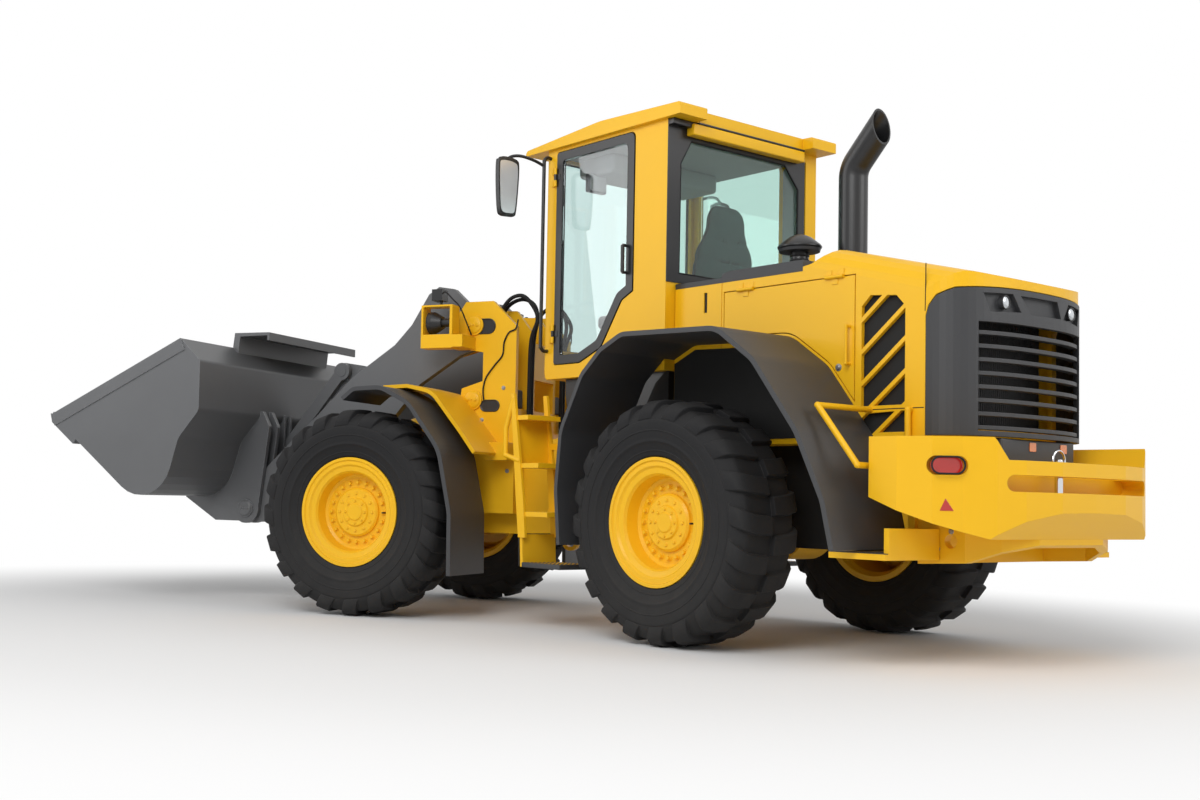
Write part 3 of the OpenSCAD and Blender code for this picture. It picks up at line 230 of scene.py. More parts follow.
def sweep(path, outline, closed=False, up=(0, 0, 1)):
    """An outline carried along a path: the point is path + x * side + y * rise, where side is
    at right angles to the path and to `up`, and rise is at right angles to both."""
    path, outline = np.asarray(path, float), np.asarray(outline, float)
    if closed:
        along = np.roll(path, -1, 0) - np.roll(path, 1, 0)
    else:
        along = np.gradient(path, axis=0)
    along /= np.linalg.norm(along, axis=1, keepdims=True)
    side = np.cross(along, up)
    side /= np.linalg.norm(side, axis=1, keepdims=True)
    rise = np.cross(side, along)
    points = (path[:, None] + outline[None, :, :1] * side[:, None]
              + outline[None, :, 1:] * rise[:, None])
    return points.reshape(-1, 3), quads(len(path), len(outline), closed, True)


def circle(radius, sides=12):
    """Points (radius * cos t, radius * sin t) round a circle."""
    t = np.linspace(0, 2 * math.pi, sides, endpoint=False)
    return radius * np.stack([np.cos(t), np.sin(t)], axis=1)


def smooth_path(points, steps=10, closed=False):
    """A Catmull-Rom curve through points: each span is a cubic blend of its four nearest
    points, so it passes through them all without a kink."""
    p = np.asarray(points, float)
    p = np.concatenate([p[-1:], p, p[:2]]) if closed else np.concatenate([p[:1], p, p[-1:]])
    t = np.linspace(0, 1, steps, endpoint=False)[:, None, None]
    a, b, c, d = p[:-3], p[1:-2], p[2:-1], p[3:]
    curve = 0.5 * (2 * b + (c - a) * t + (2 * a - 5 * b + 4 * c - d) * t ** 2
                   + (3 * b - a - 3 * c + d) * t ** 3)
    curve = curve.transpose(1, 0, 2).reshape(-1, p.shape[1])
    return curve if closed else np.concatenate([curve, p[-2:-1]])


def tube(points, radius, sides=12, steps=10, closed=False, up=(0, 0, 1)):
    """A round tube along a smooth path, with its two ends closed."""
    path = smooth_path(points, steps, closed)
    verts, faces = sweep(path, circle(radius, sides), closed, up)
    if closed:
        return verts, faces.tolist()
    last = len(verts) - sides
    return verts, faces.tolist() + [list(range(sides)), list(range(last, last + sides))[::-1]]


def soft_box(low, high, radius, n=6):
    """A box with rounded edges: the unit ball's point, times the radius, pushed outwards by the
    sign of each coordinate times the half size less the radius."""
    low, high = np.asarray(low, float), np.asarray(high, float)
    half = (high - low) / 2
    radius = np.minimum(radius, half * 0.999)
    lat = np.concatenate([np.linspace(-math.pi / 2, -1e-4, n), np.linspace(1e-4, math.pi / 2, n)])
    lon = np.concatenate([k * math.pi / 2 + np.linspace(1e-4, math.pi / 2 - 1e-4, n)
                          for k in range(4)])
    a, b = np.meshgrid(lon, lat, indexing="ij")
    ball = np.stack([np.cos(a) * np.cos(b), np.sin(a) * np.cos(b), np.sin(b)], axis=-1)
    points = ball * radius + np.sign(ball) * (half - radius) + (low + high) / 2
    return points.reshape(-1, 3), quads(4 * n, 2 * n, True, False).tolist() + [
        list(range(0, 8 * n * n, 2 * n)), list(range(2 * n - 1, 8 * n * n, 2 * n))[::-1]]


def slab(outline, low, high, axis="y"):
    """A flat outline (u, v) given a thickness between low and high along an axis: two copies
    of the outline, closed by a band and by one face at each end."""
    outline = np.asarray(outline, float)
    n = len(outline)
    ends = np.repeat([low, high], n)[:, None]
    flat = np.concatenate([outline, outline])
    order = {"x": (2, 0, 1), "y": (0, 2, 1), "z": (0, 1, 2)}[axis]
    points = np.concatenate([flat, ends], axis=1)[:, order]
    return points, quads(2, n, False, True).tolist() + [list(range(n)), list(range(n, 2 * n))[::-1]]


def copies(shape, places, axes):
    """A shape repeated at each place, its own z turned to each axis: one array product puts
    all its points at all places."""
    verts, faces = np.asarray(shape[0]), shape[1]
    places, axes = np.atleast_2d(places).astype(float), np.asarray(axes, float)
    turns = basis(np.broadcast_to(axes, places.shape))
    points = np.einsum("vk,nkj->nvj", verts, turns) + places[:, None]
    moved = [[c + len(verts) * i for c in face] for i in range(len(places))
             for face in np.asarray(faces, object).tolist()]
    return points.reshape(-1, 3), moved


def join(*shapes):
    """Several shapes as one: their points in turn, and their faces renumbered to match."""
    counts = np.cumsum([0] + [len(shape[0]) for shape in shapes])
    faces = [[int(c) + int(counts[k]) for c in face] for k, shape in enumerate(shapes)
             for face in shape[1]]
    return np.concatenate([shape[0] for shape in shapes]), faces


def moved(shape, place):
    """The same shape with all its points put through a frame's placing."""
    return place(shape[0]), shape[1]


def ring(centre, axis, radius, count, phase=0.0):
    """Places evenly round a circle: centre + radius * (cos t * a + sin t * b)."""
    t = phase + np.arange(count) * 2 * math.pi / count
    frame3 = basis(axis)
    return np.asarray(centre) + radius * (np.cos(t)[:, None] * frame3[0]
                                          + np.sin(t)[:, None] * frame3[1])


def bolt_head(half, height):
    """A six-sided head with a chamfered top and a washer under it, as a revolved profile of
    six sides and a rounder one below."""
    head = revolve([(0, height), (half * 0.8, height), (half, height * 0.8), (half, 0)], 6)
    washer = revolve([(half * 1.25, height * 0.2), (half * 1.35, height * 0.1),
                      (half * 1.35, -0.002)], 16)
    lid = revolve([(0, height * 0.2), (half * 1.25, height * 0.2)], 16)
    return join(head, washer, lid)


def add(name, shape, material, body, sharp=32.0):
    """Puts a shape into a mesh, shades it smooth up to an angle, and lets it ride on a body."""
    mesh = bpy.data.meshes.new(name)
    mesh.from_pydata(np.asarray(shape[0]).tolist(), [], [list(map(int, f)) for f in shape[1]])
    mesh.validate()
    piece = bpy.data.objects.new(name, mesh)
    bpy.context.scene.collection.objects.link(piece)
    tidy_normals(mesh)
    mesh.shade_smooth()
    mesh.set_sharp_from_angle(angle=math.radians(sharp))
    mesh.materials.append(bpy.data.materials[material])
    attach(piece, body)
    return piece


def add_all(name, shapes, place, material, sharp=32.0):
    """Shapes in machine coordinates, joined as one piece of the rear or the front frame."""
    body = {rear: "rear_body", front: "front_body"}[place]
    return add(name, moved(join(*shapes), place), material, body, sharp)


def tidy_normals(mesh):
    """Merges doubled points and turns every face outwards."""
    work = bmesh.new()
    work.from_mesh(mesh)
    bmesh.ops.remove_doubles(work, verts=work.verts, dist=1e-5)
    bmesh.ops.recalc_face_normals(work, faces=work.faces)
    work.to_mesh(mesh)
    work.free()


# Shader node groups and materials


def new_group(name, inputs, outputs):
    """An empty node group with named sockets: inputs are (name, type, default)."""
    group = bpy.data.node_groups.new(name, "ShaderNodeTree")
    for label, kind, default in inputs:
        socket = group.interface.new_socket(label, in_out="INPUT", socket_type=kind)
        socket.default_value = default
    for label, kind in outputs:
        group.interface.new_socket(label, in_out="OUTPUT", socket_type=kind)
    return group, group.nodes.new("NodeGroupInput"), group.nodes.new("NodeGroupOutput")


def math_node(tree, operation, first, second=None, clamp=False):
    """A Math node whose inputs are sockets or numbers; gives back its output."""
    node = tree.nodes.new("ShaderNodeMath")
    node.operation, node.use_clamp = operation, clamp
    for socket, value in zip(node.inputs, (first, second)):
        if isinstance(value, bpy.types.NodeSocket):
            tree.links.new(value, socket)
        elif value is not None:
            socket.default_value = value
    return node.outputs[0]


def mix_colour(tree, factor, first, second, mode="MIX"):
    """A colour Mix node whose inputs are sockets or colours; gives back its output."""
    node = tree.nodes.new("ShaderNodeMix")
    node.data_type, node.blend_type = "RGBA", mode
    for socket, value in ((node.inputs[0], factor), (node.inputs[6], first),
                          (node.inputs[7], second)):
        if isinstance(value, bpy.types.NodeSocket):
            tree.links.new(value, socket)
        else:
            socket.default_value = value
    return node.outputs[2]


def noise(tree, scale, detail=4.0, rough=0.6):
    """Noise on Object coordinates at a scale given by a socket or a number."""
    place = tree.nodes.new("ShaderNodeTexCoord")
    node = tree.nodes.new("ShaderNodeTexNoise")
    node.inputs["Detail"].default_value = detail
    node.inputs["Roughness"].default_value = rough
    tree.links.new(place.outputs["Object"], node.inputs["Vector"])
    if isinstance(scale, bpy.types.NodeSocket):
        tree.links.new(scale, node.inputs["Scale"])
    else:
        node.inputs["Scale"].default_value = scale
    return node.outputs["Fac"]


def make_weather_group():
    """Wear and dust: darkens and lightens a colour in patches, lays dust on faces that look up
    and near the ground, and lightens edges, where a bevelled normal leaves the true one."""
    group, given, result = new_group(
        "Weathering",
        [("Colour", "NodeSocketColor", (0.8, 0.8, 0.8, 1)),
         ("Edge Colour", "NodeSocketColor", (0.9, 0.9, 0.9, 1)),
         ("Roughness", "NodeSocketFloat", 0.4), ("Patches", "NodeSocketFloat", 0.1),
         ("Edge Wear", "NodeSocketFloat", 0.3), ("Dust", "NodeSocketFloat", 0.2),
         ("Edge Radius", "NodeSocketFloat", 0.004)],
        [("Colour", "NodeSocketColor"), ("Roughness", "NodeSocketFloat"),
         ("Normal", "NodeSocketVector")])
    link = group.links.new
    geometry = group.nodes.new("ShaderNodeNewGeometry")
    bevel = group.nodes.new("ShaderNodeBevel")
    bevel.samples = 4
    link(given.outputs["Edge Radius"], bevel.inputs["Radius"])
    dot = group.nodes.new("ShaderNodeVectorMath")
    dot.operation = "DOT_PRODUCT"
    link(bevel.outputs["Normal"], dot.inputs[0])
    link(geometry.outputs["Normal"], dot.inputs[1])
    # Edges: where the bevelled normal leaves the true one, broken up by noise
    bend = math_node(group, "SUBTRACT", 1.0, dot.outputs["Value"], True)
    broken = math_node(group, "MULTIPLY", bend, noise(group, 38.0))
    edge = math_node(group, "MULTIPLY", broken, 9.0, True)
    edge = math_node(group, "MULTIPLY", edge, given.outputs["Edge Wear"], True)
    # Patches: wide noise about zero, which makes the colour lighter and darker
    patch = math_node(group, "SUBTRACT", noise(group, 2.3, 6.0), 0.5)
    patch = math_node(group, "MULTIPLY", patch, given.outputs["Patches"])
    bright = math_node(group, "ADD", patch, 1.0)
    shade = group.nodes.new("ShaderNodeVectorMath")
    shade.operation = "SCALE"
    link(given.outputs["Colour"], shade.inputs[0])
    link(bright, shade.inputs["Scale"])
    worn = mix_colour(group, edge, shade.outputs[0], given.outputs["Edge Colour"])
    # Dust: what looks up, and what is within about a metre of the ground
    split = group.nodes.new("ShaderNodeSeparateXYZ")
    link(geometry.outputs["Normal"], split.inputs[0])
    place = group.nodes.new("ShaderNodeTexCoord")
    height = group.nodes.new("ShaderNodeSeparateXYZ")
    link(place.outputs["Object"], height.inputs[0])
    low = group.nodes.new("ShaderNodeMapRange")
    low.inputs["From Min"].default_value = 1.1
    low.inputs["From Max"].default_value = 0.0
    link(height.outputs["Z"], low.inputs["Value"])
    upward = math_node(group, "MULTIPLY", split.outputs["Z"], 0.8, True)
    settled = math_node(group, "ADD", upward, low.outputs["Result"])
    settled = math_node(group, "MULTIPLY", settled, noise(group, 7.0, 8.0, 0.7))
    dust = math_node(group, "MULTIPLY", settled, given.outputs["Dust"], True)
    link(mix_colour(group, dust, worn, (0.3, 0.28, 0.25, 1)), result.inputs["Colour"])
    rough = math_node(group, "ADD", given.outputs["Roughness"],
                      math_node(group, "MULTIPLY", dust, 0.5))
    rough = math_node(group, "ADD", rough, math_node(group, "MULTIPLY", patch, 0.6), True)
    link(rough, result.inputs["Roughness"])
    link(bevel.outputs["Normal"], result.inputs["Normal"])
    return group


def make_grain_group():
    """Fine grain: noise at two scales as a height, for moulded plastic, rubber and cast metal."""
    group, given, result = new_group(
        "Grain", [("Scale", "NodeSocketFloat", 400.0), ("Ripple", "NodeSocketFloat", 12.0),
                  ("Ripple Amount", "NodeSocketFloat", 0.2)],
        [("Height", "NodeSocketFloat")])
    fine = noise(group, given.outputs["Scale"], 2.0)
    wide = math_node(group, "MULTIPLY", noise(group, given.outputs["Ripple"], 2.0),
                     given.outputs["Ripple Amount"])
    group.links.new(math_node(group, "ADD", fine, wide), result.inputs["Height"])
    return group


def make_material(name, colour, roughness, edge_colour=None, patches=0.1, wear=0.2, dust=None,
                  grain=None, metallic=0.0, coat=0.0, radius=None, shine=0.5):
    """A finish made of the weathering group, and the grain group as a bump where it is given
    as (scale, ripple scale, ripple amount, strength)."""
    paint = settings()[0]
    material = bpy.data.materials.new(name)
    material.use_nodes = True
    tree = material.node_tree
    shader = tree.nodes["Principled BSDF"]
    weather = tree.nodes.new("ShaderNodeGroup")
    weather.node_tree = bpy.data.node_groups["Weathering"]
    values = {"Colour": (*colour, 1), "Edge Colour": (*(edge_colour or colour), 1),
              "Roughness": roughness, "Patches": patches, "Edge Wear": wear,
              "Dust": paint.dust if dust is None else dust,
              "Edge Radius": paint.edge if radius is None else radius}
    for label, value in values.items():
        weather.inputs[label].default_value = value
    tree.links.new(weather.outputs["Colour"], shader.inputs["Base Color"])
    tree.links.new(weather.outputs["Roughness"], shader.inputs["Roughness"])
    shader.inputs["Metallic"].default_value = metallic
    shader.inputs["Specular IOR Level"].default_value = shine
    shader.inputs["Coat Weight"].default_value = coat
    shader.inputs["Coat Roughness"].default_value = 0.12
    normal = weather.outputs["Normal"]
    if grain:
        texture = tree.nodes.new("ShaderNodeGroup")
        texture.node_tree = bpy.data.node_groups["Grain"]
        for label, value in zip(("Scale", "Ripple", "Ripple Amount"), grain):
            texture.inputs[label].default_value = value
        bump = tree.nodes.new("ShaderNodeBump")
        bump.inputs["Strength"].default_value = grain[3]
        bump.inputs["Distance"].default_value = 0.002
        tree.links.new(texture.outputs["Height"], bump.inputs["Height"])
        tree.links.new(normal, bump.inputs["Normal"])
        normal = bump.outputs["Normal"]
    tree.links.new(normal, shader.inputs["Normal"])
    return material


def make_glass(name, tint, rough=0.0):
    """Clear tinted sheet glass."""
    material = bpy.data.materials.new(name)
    material.use_nodes = True
    shader = material.node_tree.nodes["Principled BSDF"]
    shader.inputs["Base Color"].default_value = (*tint, 1)
    shader.inputs["Roughness"].default_value = rough
    shader.inputs["IOR"].default_value = 1.45
    shader.inputs["Transmission Weight"].default_value = 1.0
    return material


FINISH_OF_NODE = {
    "Yellow Paint": (
        "rear_frame", "counterweight", "hood", "engine_door_left", "engine_door_right",
        "cab_frame", "cab_roof", "ladders", "front_frame", "rim_front_left",
        "rim_front_right", "rim_rear_left", "rim_rear_right", "lift_barrel_left",
        "lift_barrel_right", "tilt_barrel", "steer_barrel_left", "steer_barrel_right"),
    "Axle Paint": ("rear_axle", "front_axle"),
    "Steel Paint": ("lift_arms", "bellcrank", "tilt_links"),
    "Bucket Steel": ("bucket",),
    "Moulded Plastic": ("rear_fenders", "front_fenders", "grille", "hood_deck"),
    "Cast Iron": ("engine_block",),
    "Black Paint": ("cab_door", "mirrors", "front_lamps", "exhaust", "cab_interior", "seat"),
    "Window Glass": ("cab_windows",),
    "Door Glass": ("cab_door_glass",),
    "Red Lens": ("rear_lamps",),
    "Chrome": ("lift_rod_left", "lift_rod_right", "tilt_rod", "steer_rod_left",
               "steer_rod_right"),
    "Rubber": ("tyre_front_left", "tyre_front_right", "tyre_rear_left", "tyre_rear_right"),
}


class LOADER_OT_finishes(bpy.types.Operator):
    """Builds the node groups and the finishes, and gives each plain part its own"""
    bl_idname = "loader.finishes"
    bl_label = "Finishes"

    def execute(self, context):
        paint = settings()[0]
        make_weather_group()
        make_grain_group()
        yellow, steel, plastic = tuple(paint.yellow), tuple(paint.steel), tuple(paint.plastic)
        make_material("Yellow Paint", yellow, 0.4, (0.95, 0.6, 0.06), 0.07, 0.35, 0.05,
                      (60, 6, 0.6, 0.03), coat=0.06, shine=0.3)
        make_material("Axle Paint", yellow, 0.45, (0.5, 0.3, 0.05), 0.2, 0.4, 0.5,
                      (180, 20, 0.6, 0.35))
        make_material("Steel Paint", steel, 0.42, (0.3, 0.3, 0.31), 0.12, 0.6, 0.2,
                      (90, 7, 0.8, 0.05))
        make_material("Bucket Steel", steel, 0.4, (0.42, 0.43, 0.45), 0.22, 0.9, 0.1,
                      (60, 5, 0.9, 0.08), metallic=0.15)
        make_material("Moulded Plastic", plastic, 0.48, (0.07, 0.07, 0.072), 0.12, 0.4, 0.1,
                      (700, 9, 0.3, 0.25))
        make_material("Black Paint", (0.012, 0.012, 0.013), 0.33, (0.05, 0.05, 0.052), 0.1, 0.4,
                      0.1, (300, 9, 0.3, 0.08))
        make_material("Cast Iron", (0.03, 0.031, 0.033), 0.6, (0.08, 0.08, 0.08), 0.3, 0.4, 0.4,
                      (220, 30, 1.0, 0.5))
        make_material("Chrome", (0.72, 0.73, 0.75), 0.08, patches=0.03, wear=0.0, dust=0.03,
                      metallic=1.0, radius=0.001)
        make_material("Rubber", tuple(paint.rubber), 0.72, (0.04, 0.04, 0.04), 0.2, 0.3, 0.08,
                      (160, 18, 0.8, 0.35), radius=0.006, shine=0.25)
        make_material("Red Lens", (0.5, 0.012, 0.006), 0.14, patches=0.05, wear=0.0, dust=0.05,
                      coat=1.0)
        make_material("Amber Lens", (0.75, 0.2, 0.008), 0.14, patches=0.05, wear=0.0, dust=0.05,
                      coat=1.0)
        make_material("Lamp Lens", (0.62, 0.65, 0.68), 0.06, patches=0.05, wear=0.0, dust=0.05,
                      metallic=0.6, coat=1.0)
        make_material("Bolt Steel", (0.34, 0.34, 0.35), 0.36, (0.6, 0.6, 0.6), 0.2, 0.4, 0.2,
                      metallic=0.9, radius=0.0015)
        make_material("Mirror", (0.7, 0.72, 0.74), 0.2, patches=0.05, wear=0.0, dust=0.02,
                      metallic=0.35, radius=0.001)
        # Near-black finish for the vents' backs, also used for the sheets of painted shade inside the
        # wheel arches
        make_material("Vent Mesh", (0.006, 0.006, 0.006), 0.8, patches=0.2, wear=0.0, dust=0.05)
        make_material("Cab Lining", (0.38, 0.4, 0.4), 0.75, patches=0.1, wear=0.1, dust=0.05,
                      grain=(500, 12, 0.3, 0.3))
        make_material("Woven Cloth", tuple(paint.fabric), 0.9, (0.06, 0.07, 0.07), 0.2, 0.2, 0.06,
                      (900, 30, 0.3, 0.5), radius=0.002)
        make_glass("Window Glass", tuple(paint.glass))
        make_glass("Door Glass", (0.85, 0.9, 0.92))
        for finish, names in FINISH_OF_NODE.items():
            for name in names:
                piece = frame["nodes"][name]
                piece.data.materials.clear()
                piece.data.materials.append(bpy.data.materials[finish])
        return {"FINISHED"}


def wheel_places():
    """Each wheel's name, its centre, and the direction that points out of it."""
    for name in WHEELS:
        place = front if "front" in name else rear
        side = 1 if name.endswith("left") else -1
        low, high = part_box(name.replace("wheel", "tyre"))
        yield name, np.array(low + high) / 2, side * (place([0, 1, 0]) - place([0, 0, 0]))


def lug_row(tyre, side):
    """One row of lugs. Along s a lug runs from the middle of the tread over the shoulder and
    down the wall, and across x it has sloping flanks. A point lies at base + f * (top - base),
    turned about the axle by phase + (slant * s + x * width) / radius."""
    top = np.array([(0.05, 0), (0.4, 0), (0.64, 0.002), (0.79, 0.01), (0.9, 0.026),
                    (0.965, 0.052), (0.99, 0.082), (0.975, 0.108)])
    base = np.array([(0.05, 1.07), (0.4, 1.07), (0.62, 1.17), (0.74, 1.4), (0.83, 1.73),
                     (0.875, 2.27), (0.925, 2.93), (0.95, 3.6)]) * (1, tyre.lug)
    across = np.array([(-0.57, 0), (-0.5, 0.88), (-0.45, 1), (0.45, 1), (0.5, 0.88), (0.57, 0)])
    s = np.linspace(0, 1, len(top))[:, None]
    mix = base[:, None] + across[:, 1, None] * (top - base)[:, None]
    turn = (0.07 * s ** 1.4 + across[:, 0] * (0.098 + 0.022 * s)) / tyre.radius
    phase = (np.arange(tyre.count) + (side < 0) / 2) * 2 * math.pi / tyre.count
    angle = phase[:, None, None] + turn
    radius = tyre.radius - mix[..., 1] + 0 * angle
    points = np.stack([radius * np.cos(angle), radius * np.sin(angle),
                       mix[..., 0] * side * tyre.width / 2 + 0 * angle], axis=-1)
    rows, columns = len(top), len(across)
    end = (rows - 1) * columns
    one = quads(rows, columns, False, True).tolist() + [
        list(range(columns)), list(range(end, end + columns))[::-1]]
    faces = [[c + rows * columns * k for c in face] for k in range(tyre.count) for face in one]
    return points.reshape(-1, 3), faces


def tyre_shape(tyre):
    """A carcass, which is one closed outline turned about the axle, its raised rings, and two
    staggered rows of lugs."""
    half, tread = tyre.width / 2, tyre.radius - tyre.lug
    wall = smooth_path([
        (0.366, 0.184), (0.369, 0.197), (0.38, 0.205), (0.405, 0.212), (0.44, 0.225),
        (0.452, 0.233), (0.468, 0.2315), (0.49, half - 0.006), (0.53, half - 0.003),
        (0.565, half - 0.0045), (0.572, half - 0.0085), (0.594, half - 0.0135), (0.62, 0.212),
        (0.645, 0.19), (tread, 0.16), (tread, 0.06)], 3)
    profile = np.concatenate([[(0.3185, -0.184), (0.3185, 0.184)], wall, wall[::-1] * (1, -1)])
    carcass = revolve(profile, 144, closed=True)
    beads = [revolve(circle(0.003, 8) + (radius, side * height), 144, closed=True)
             for radius, height in ((0.4, 0.2105), (0.512, half - 0.0035))
             for side in (-1, 1)]
    return join(carcass, *beads, lug_row(tyre, 1), lug_row(tyre, -1))


class LOADER_OT_tyres(bpy.types.Operator):
    """Builds the four tyres, each a moulded carcass with two staggered rows of slanting lugs"""
    bl_idname = "loader.tyres"
    bl_label = "Tyres"

    def execute(self, context):
        points, faces = tyre_shape(settings()[1])
        for name, centre, out in wheel_places():
            node = name.replace("wheel", "tyre")
            shape = points @ basis(out) + centre, faces
            tyre = add("moulded_" + node, shape, "Rubber", name)
            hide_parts(node)
        return {"FINISHED"}


class LOADER_OT_wheel_bolts(bpy.types.Operator):
    """Puts the wheel nuts, the hub's bolts and a valve on each rim"""
    bl_idname = "loader.wheel_bolts"
    bl_label = "Wheel Bolts"

    def execute(self, context):
        half = settings()[2].bolt
        disc_face, nut_circle, nut_count = 0.0745, 0.2, 20
        # The hub's two rings of bolts: share of a nut's size, face, circle and count
        hub_rings = ((0.75, 0.1035, 0.125, 12), (0.6, 0.1175, 0.075, 8))
        for name, centre, out in wheel_places():
            nuts = copies(bolt_head(half, 0.022),
                          ring(centre + disc_face * out, out, nut_circle, nut_count), out)
            hub = [copies(bolt_head(half * size, 0.009), ring(centre + face * out, out, r, n), out)
                   for size, face, r, n in hub_rings]
            a, b, axis = basis(out)
            valve = tube([centre + r * a + h * axis for r, h in
                          ((0.253, 0.095), (0.243, 0.118), (0.238, 0.142), (0.237, 0.165))],
                         0.0055, 10, 4, up=b)
            tag = name.replace("wheel", "")
            add("wheel_nuts" + tag, nuts, "Yellow Paint", name)
            add("hub_bolts" + tag, join(*hub), "Yellow Paint", name)
            add("valve" + tag, valve, "Rubber", name)
        return {"FINISHED"}


def placed(local, origin, a, b):
    """Points (u, v, w) of a plane's own axes: origin + u * a + v * b + w * (a x b)."""
    a, b = np.asarray(a, float), np.asarray(b, float)
    return np.asarray(local) @ np.stack([a, b, np.cross(a, b)]) + origin


def round_rect(low, high, radius, n=6):
    """A rectangle with round corners: a circle's point, pushed outwards by its own signs."""
    low, high = np.asarray(low, float), np.asarray(high, float)
    t = (np.arange(4)[:, None] * math.pi / 2 + np.linspace(1e-3, math.pi / 2 - 1e-3, n)).ravel()
    spot = np.stack([np.cos(t), np.sin(t)], axis=1)
    return spot * radius + np.sign(spot) * ((high - low) / 2 - radius) + (low + high) / 2


def framed(outer, inner, low, high, axis="y"):
    """A flat ring between two outlines with as many corners, given a thickness: the four
    corners outer low, outer high, inner high and inner low are carried round it."""
    outer, inner = np.asarray(outer, float), np.asarray(inner, float)
    order = {"x": (2, 0, 1), "y": (0, 2, 1), "z": (0, 1, 2)}[axis]
    ends = [(outer, low), (outer, high), (inner, high), (inner, low)]
    points = np.stack([np.c_[flat, np.full(len(flat), end)] for flat, end in ends], axis=1)
    return points[..., order].reshape(-1, 3), quads(len(outer), 4, True, True).tolist()


def pillow(outline, depth, crown=0.42, channels=(), sag=0.0, rows=24):
    """A stuffed closed form on a flat outline. At fraction s from the middle to the edge its
    point is middle + s * (edge - middle), and it stands depth * (1 - s^4)^crown off the plane
    on each side; sewn channels press it down by a bell curve across v, and sag along v."""
    outline = np.asarray(outline, float)
    turn = np.linspace(0, math.pi, 2 * rows + 1)[:, None]
    s = np.sin(turn)
    flat = outline.mean(0) + s[..., None] * (outline - outline.mean(0))
    bulge = depth * np.maximum(1 - s ** 4, 0) ** crown * np.ones(len(outline))
    v = flat[..., 1]
    for place in channels:
        bulge = bulge * (1 - 0.3 * np.exp(-((v - place) / 0.008) ** 2))
    rise = -np.sign(np.cos(turn)) * bulge + sag * v ** 2
    points = np.concatenate([flat, rise[..., None]], axis=-1)
    return points.reshape(-1, 3), quads(len(turn), len(outline), False, True).tolist()


class LOADER_OT_seat(bpy.types.Operator):
    """Builds the driver's seat: padded cushion and backrest with piping, bellows and armrests"""
    bl_idname = "loader.seat"
    bl_label = "Seat"

    def execute(self, context):
        lean = np.array([-0.108, 0, 0.994])
        half = smooth_path([(0, -0.33), (0.16, -0.33), (0.225, -0.29), (0.25, -0.16),
                            (0.258, 0.02), (0.24, 0.16), (0.19, 0.25), (0.155, 0.33),
                            (0.145, 0.41), (0.105, 0.455), (0, 0.462)], 4)
        outline = np.concatenate([half, (half[-2:0:-1]) * (-1, 1)])
        shapes = {
            "seat_cushion": (round_rect((-0.26, -0.25), (0.26, 0.25), 0.1, 8), 0.07,
                             (0.82, 0, 1.905), (1, 0, 0), (0, 1, 0), (-0.12, 0.12), 0.35),
            "seat_back": (outline, 0.065, (0.61, 0, 2.25), (0, 1, 0), lean,
                          (-0.2, -0.05, 0.1, 0.24), 0.12),
        }
        for name, (edge, depth, at, a, b, channels, sag) in shapes.items():
            points, faces = pillow(edge, depth, channels=channels, sag=sag)
            pad = add(name, (rear(placed(points, at, a, b)), faces), "Woven Cloth", "rear_body",
                      60)
            line = np.c_[edge * 1.004, sag * edge[:, 1] ** 2]
            piping = tube(rear(placed(line, at, a, b)), 0.006, 8, 1, True, np.cross(a, b))
            add(name + "_piping", piping, "Rubber", "rear_body")
            if name == "seat_cushion":
                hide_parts("seat")
        level = np.linspace(0, 1, 29)
        base = round_rect((0.62, -0.17), (0.98, 0.17), 0.05, 5)
        fold = 1 - 0.07 * np.cos(level * 10 * math.pi)[:, None, None]
        folds = (base - base.mean(0)) * fold + base.mean(0)
        height = np.broadcast_to(1.652 + 0.172 * level[:, None, None], (29, len(base), 1))
        bellows = (rear(np.concatenate([folds, height], -1).reshape(-1, 3)),
                   quads(29, len(base), False, True).tolist() + [
                       list(range(len(base))), list(range(28 * len(base), 29 * len(base)))[::-1]])
        add("seat_bellows", bellows, "Rubber", "rear_body")
        parts = [soft_box((0.6, -0.22, 1.815), (1.05, 0.22, 1.85), 0.012)]
        for side in (-1, 1):
            low, high = sorted((side * 0.262, side * 0.325))
            parts.append(soft_box((0.66, low, 2.12), (1.0, high, 2.17), 0.022))
            parts.append(soft_box((0.66, low + 0.015, 1.86), (0.71, high - 0.015, 2.14), 0.012))
        add_all("seat_frame", parts, rear, "Moulded Plastic")
        return {"FINISHED"}


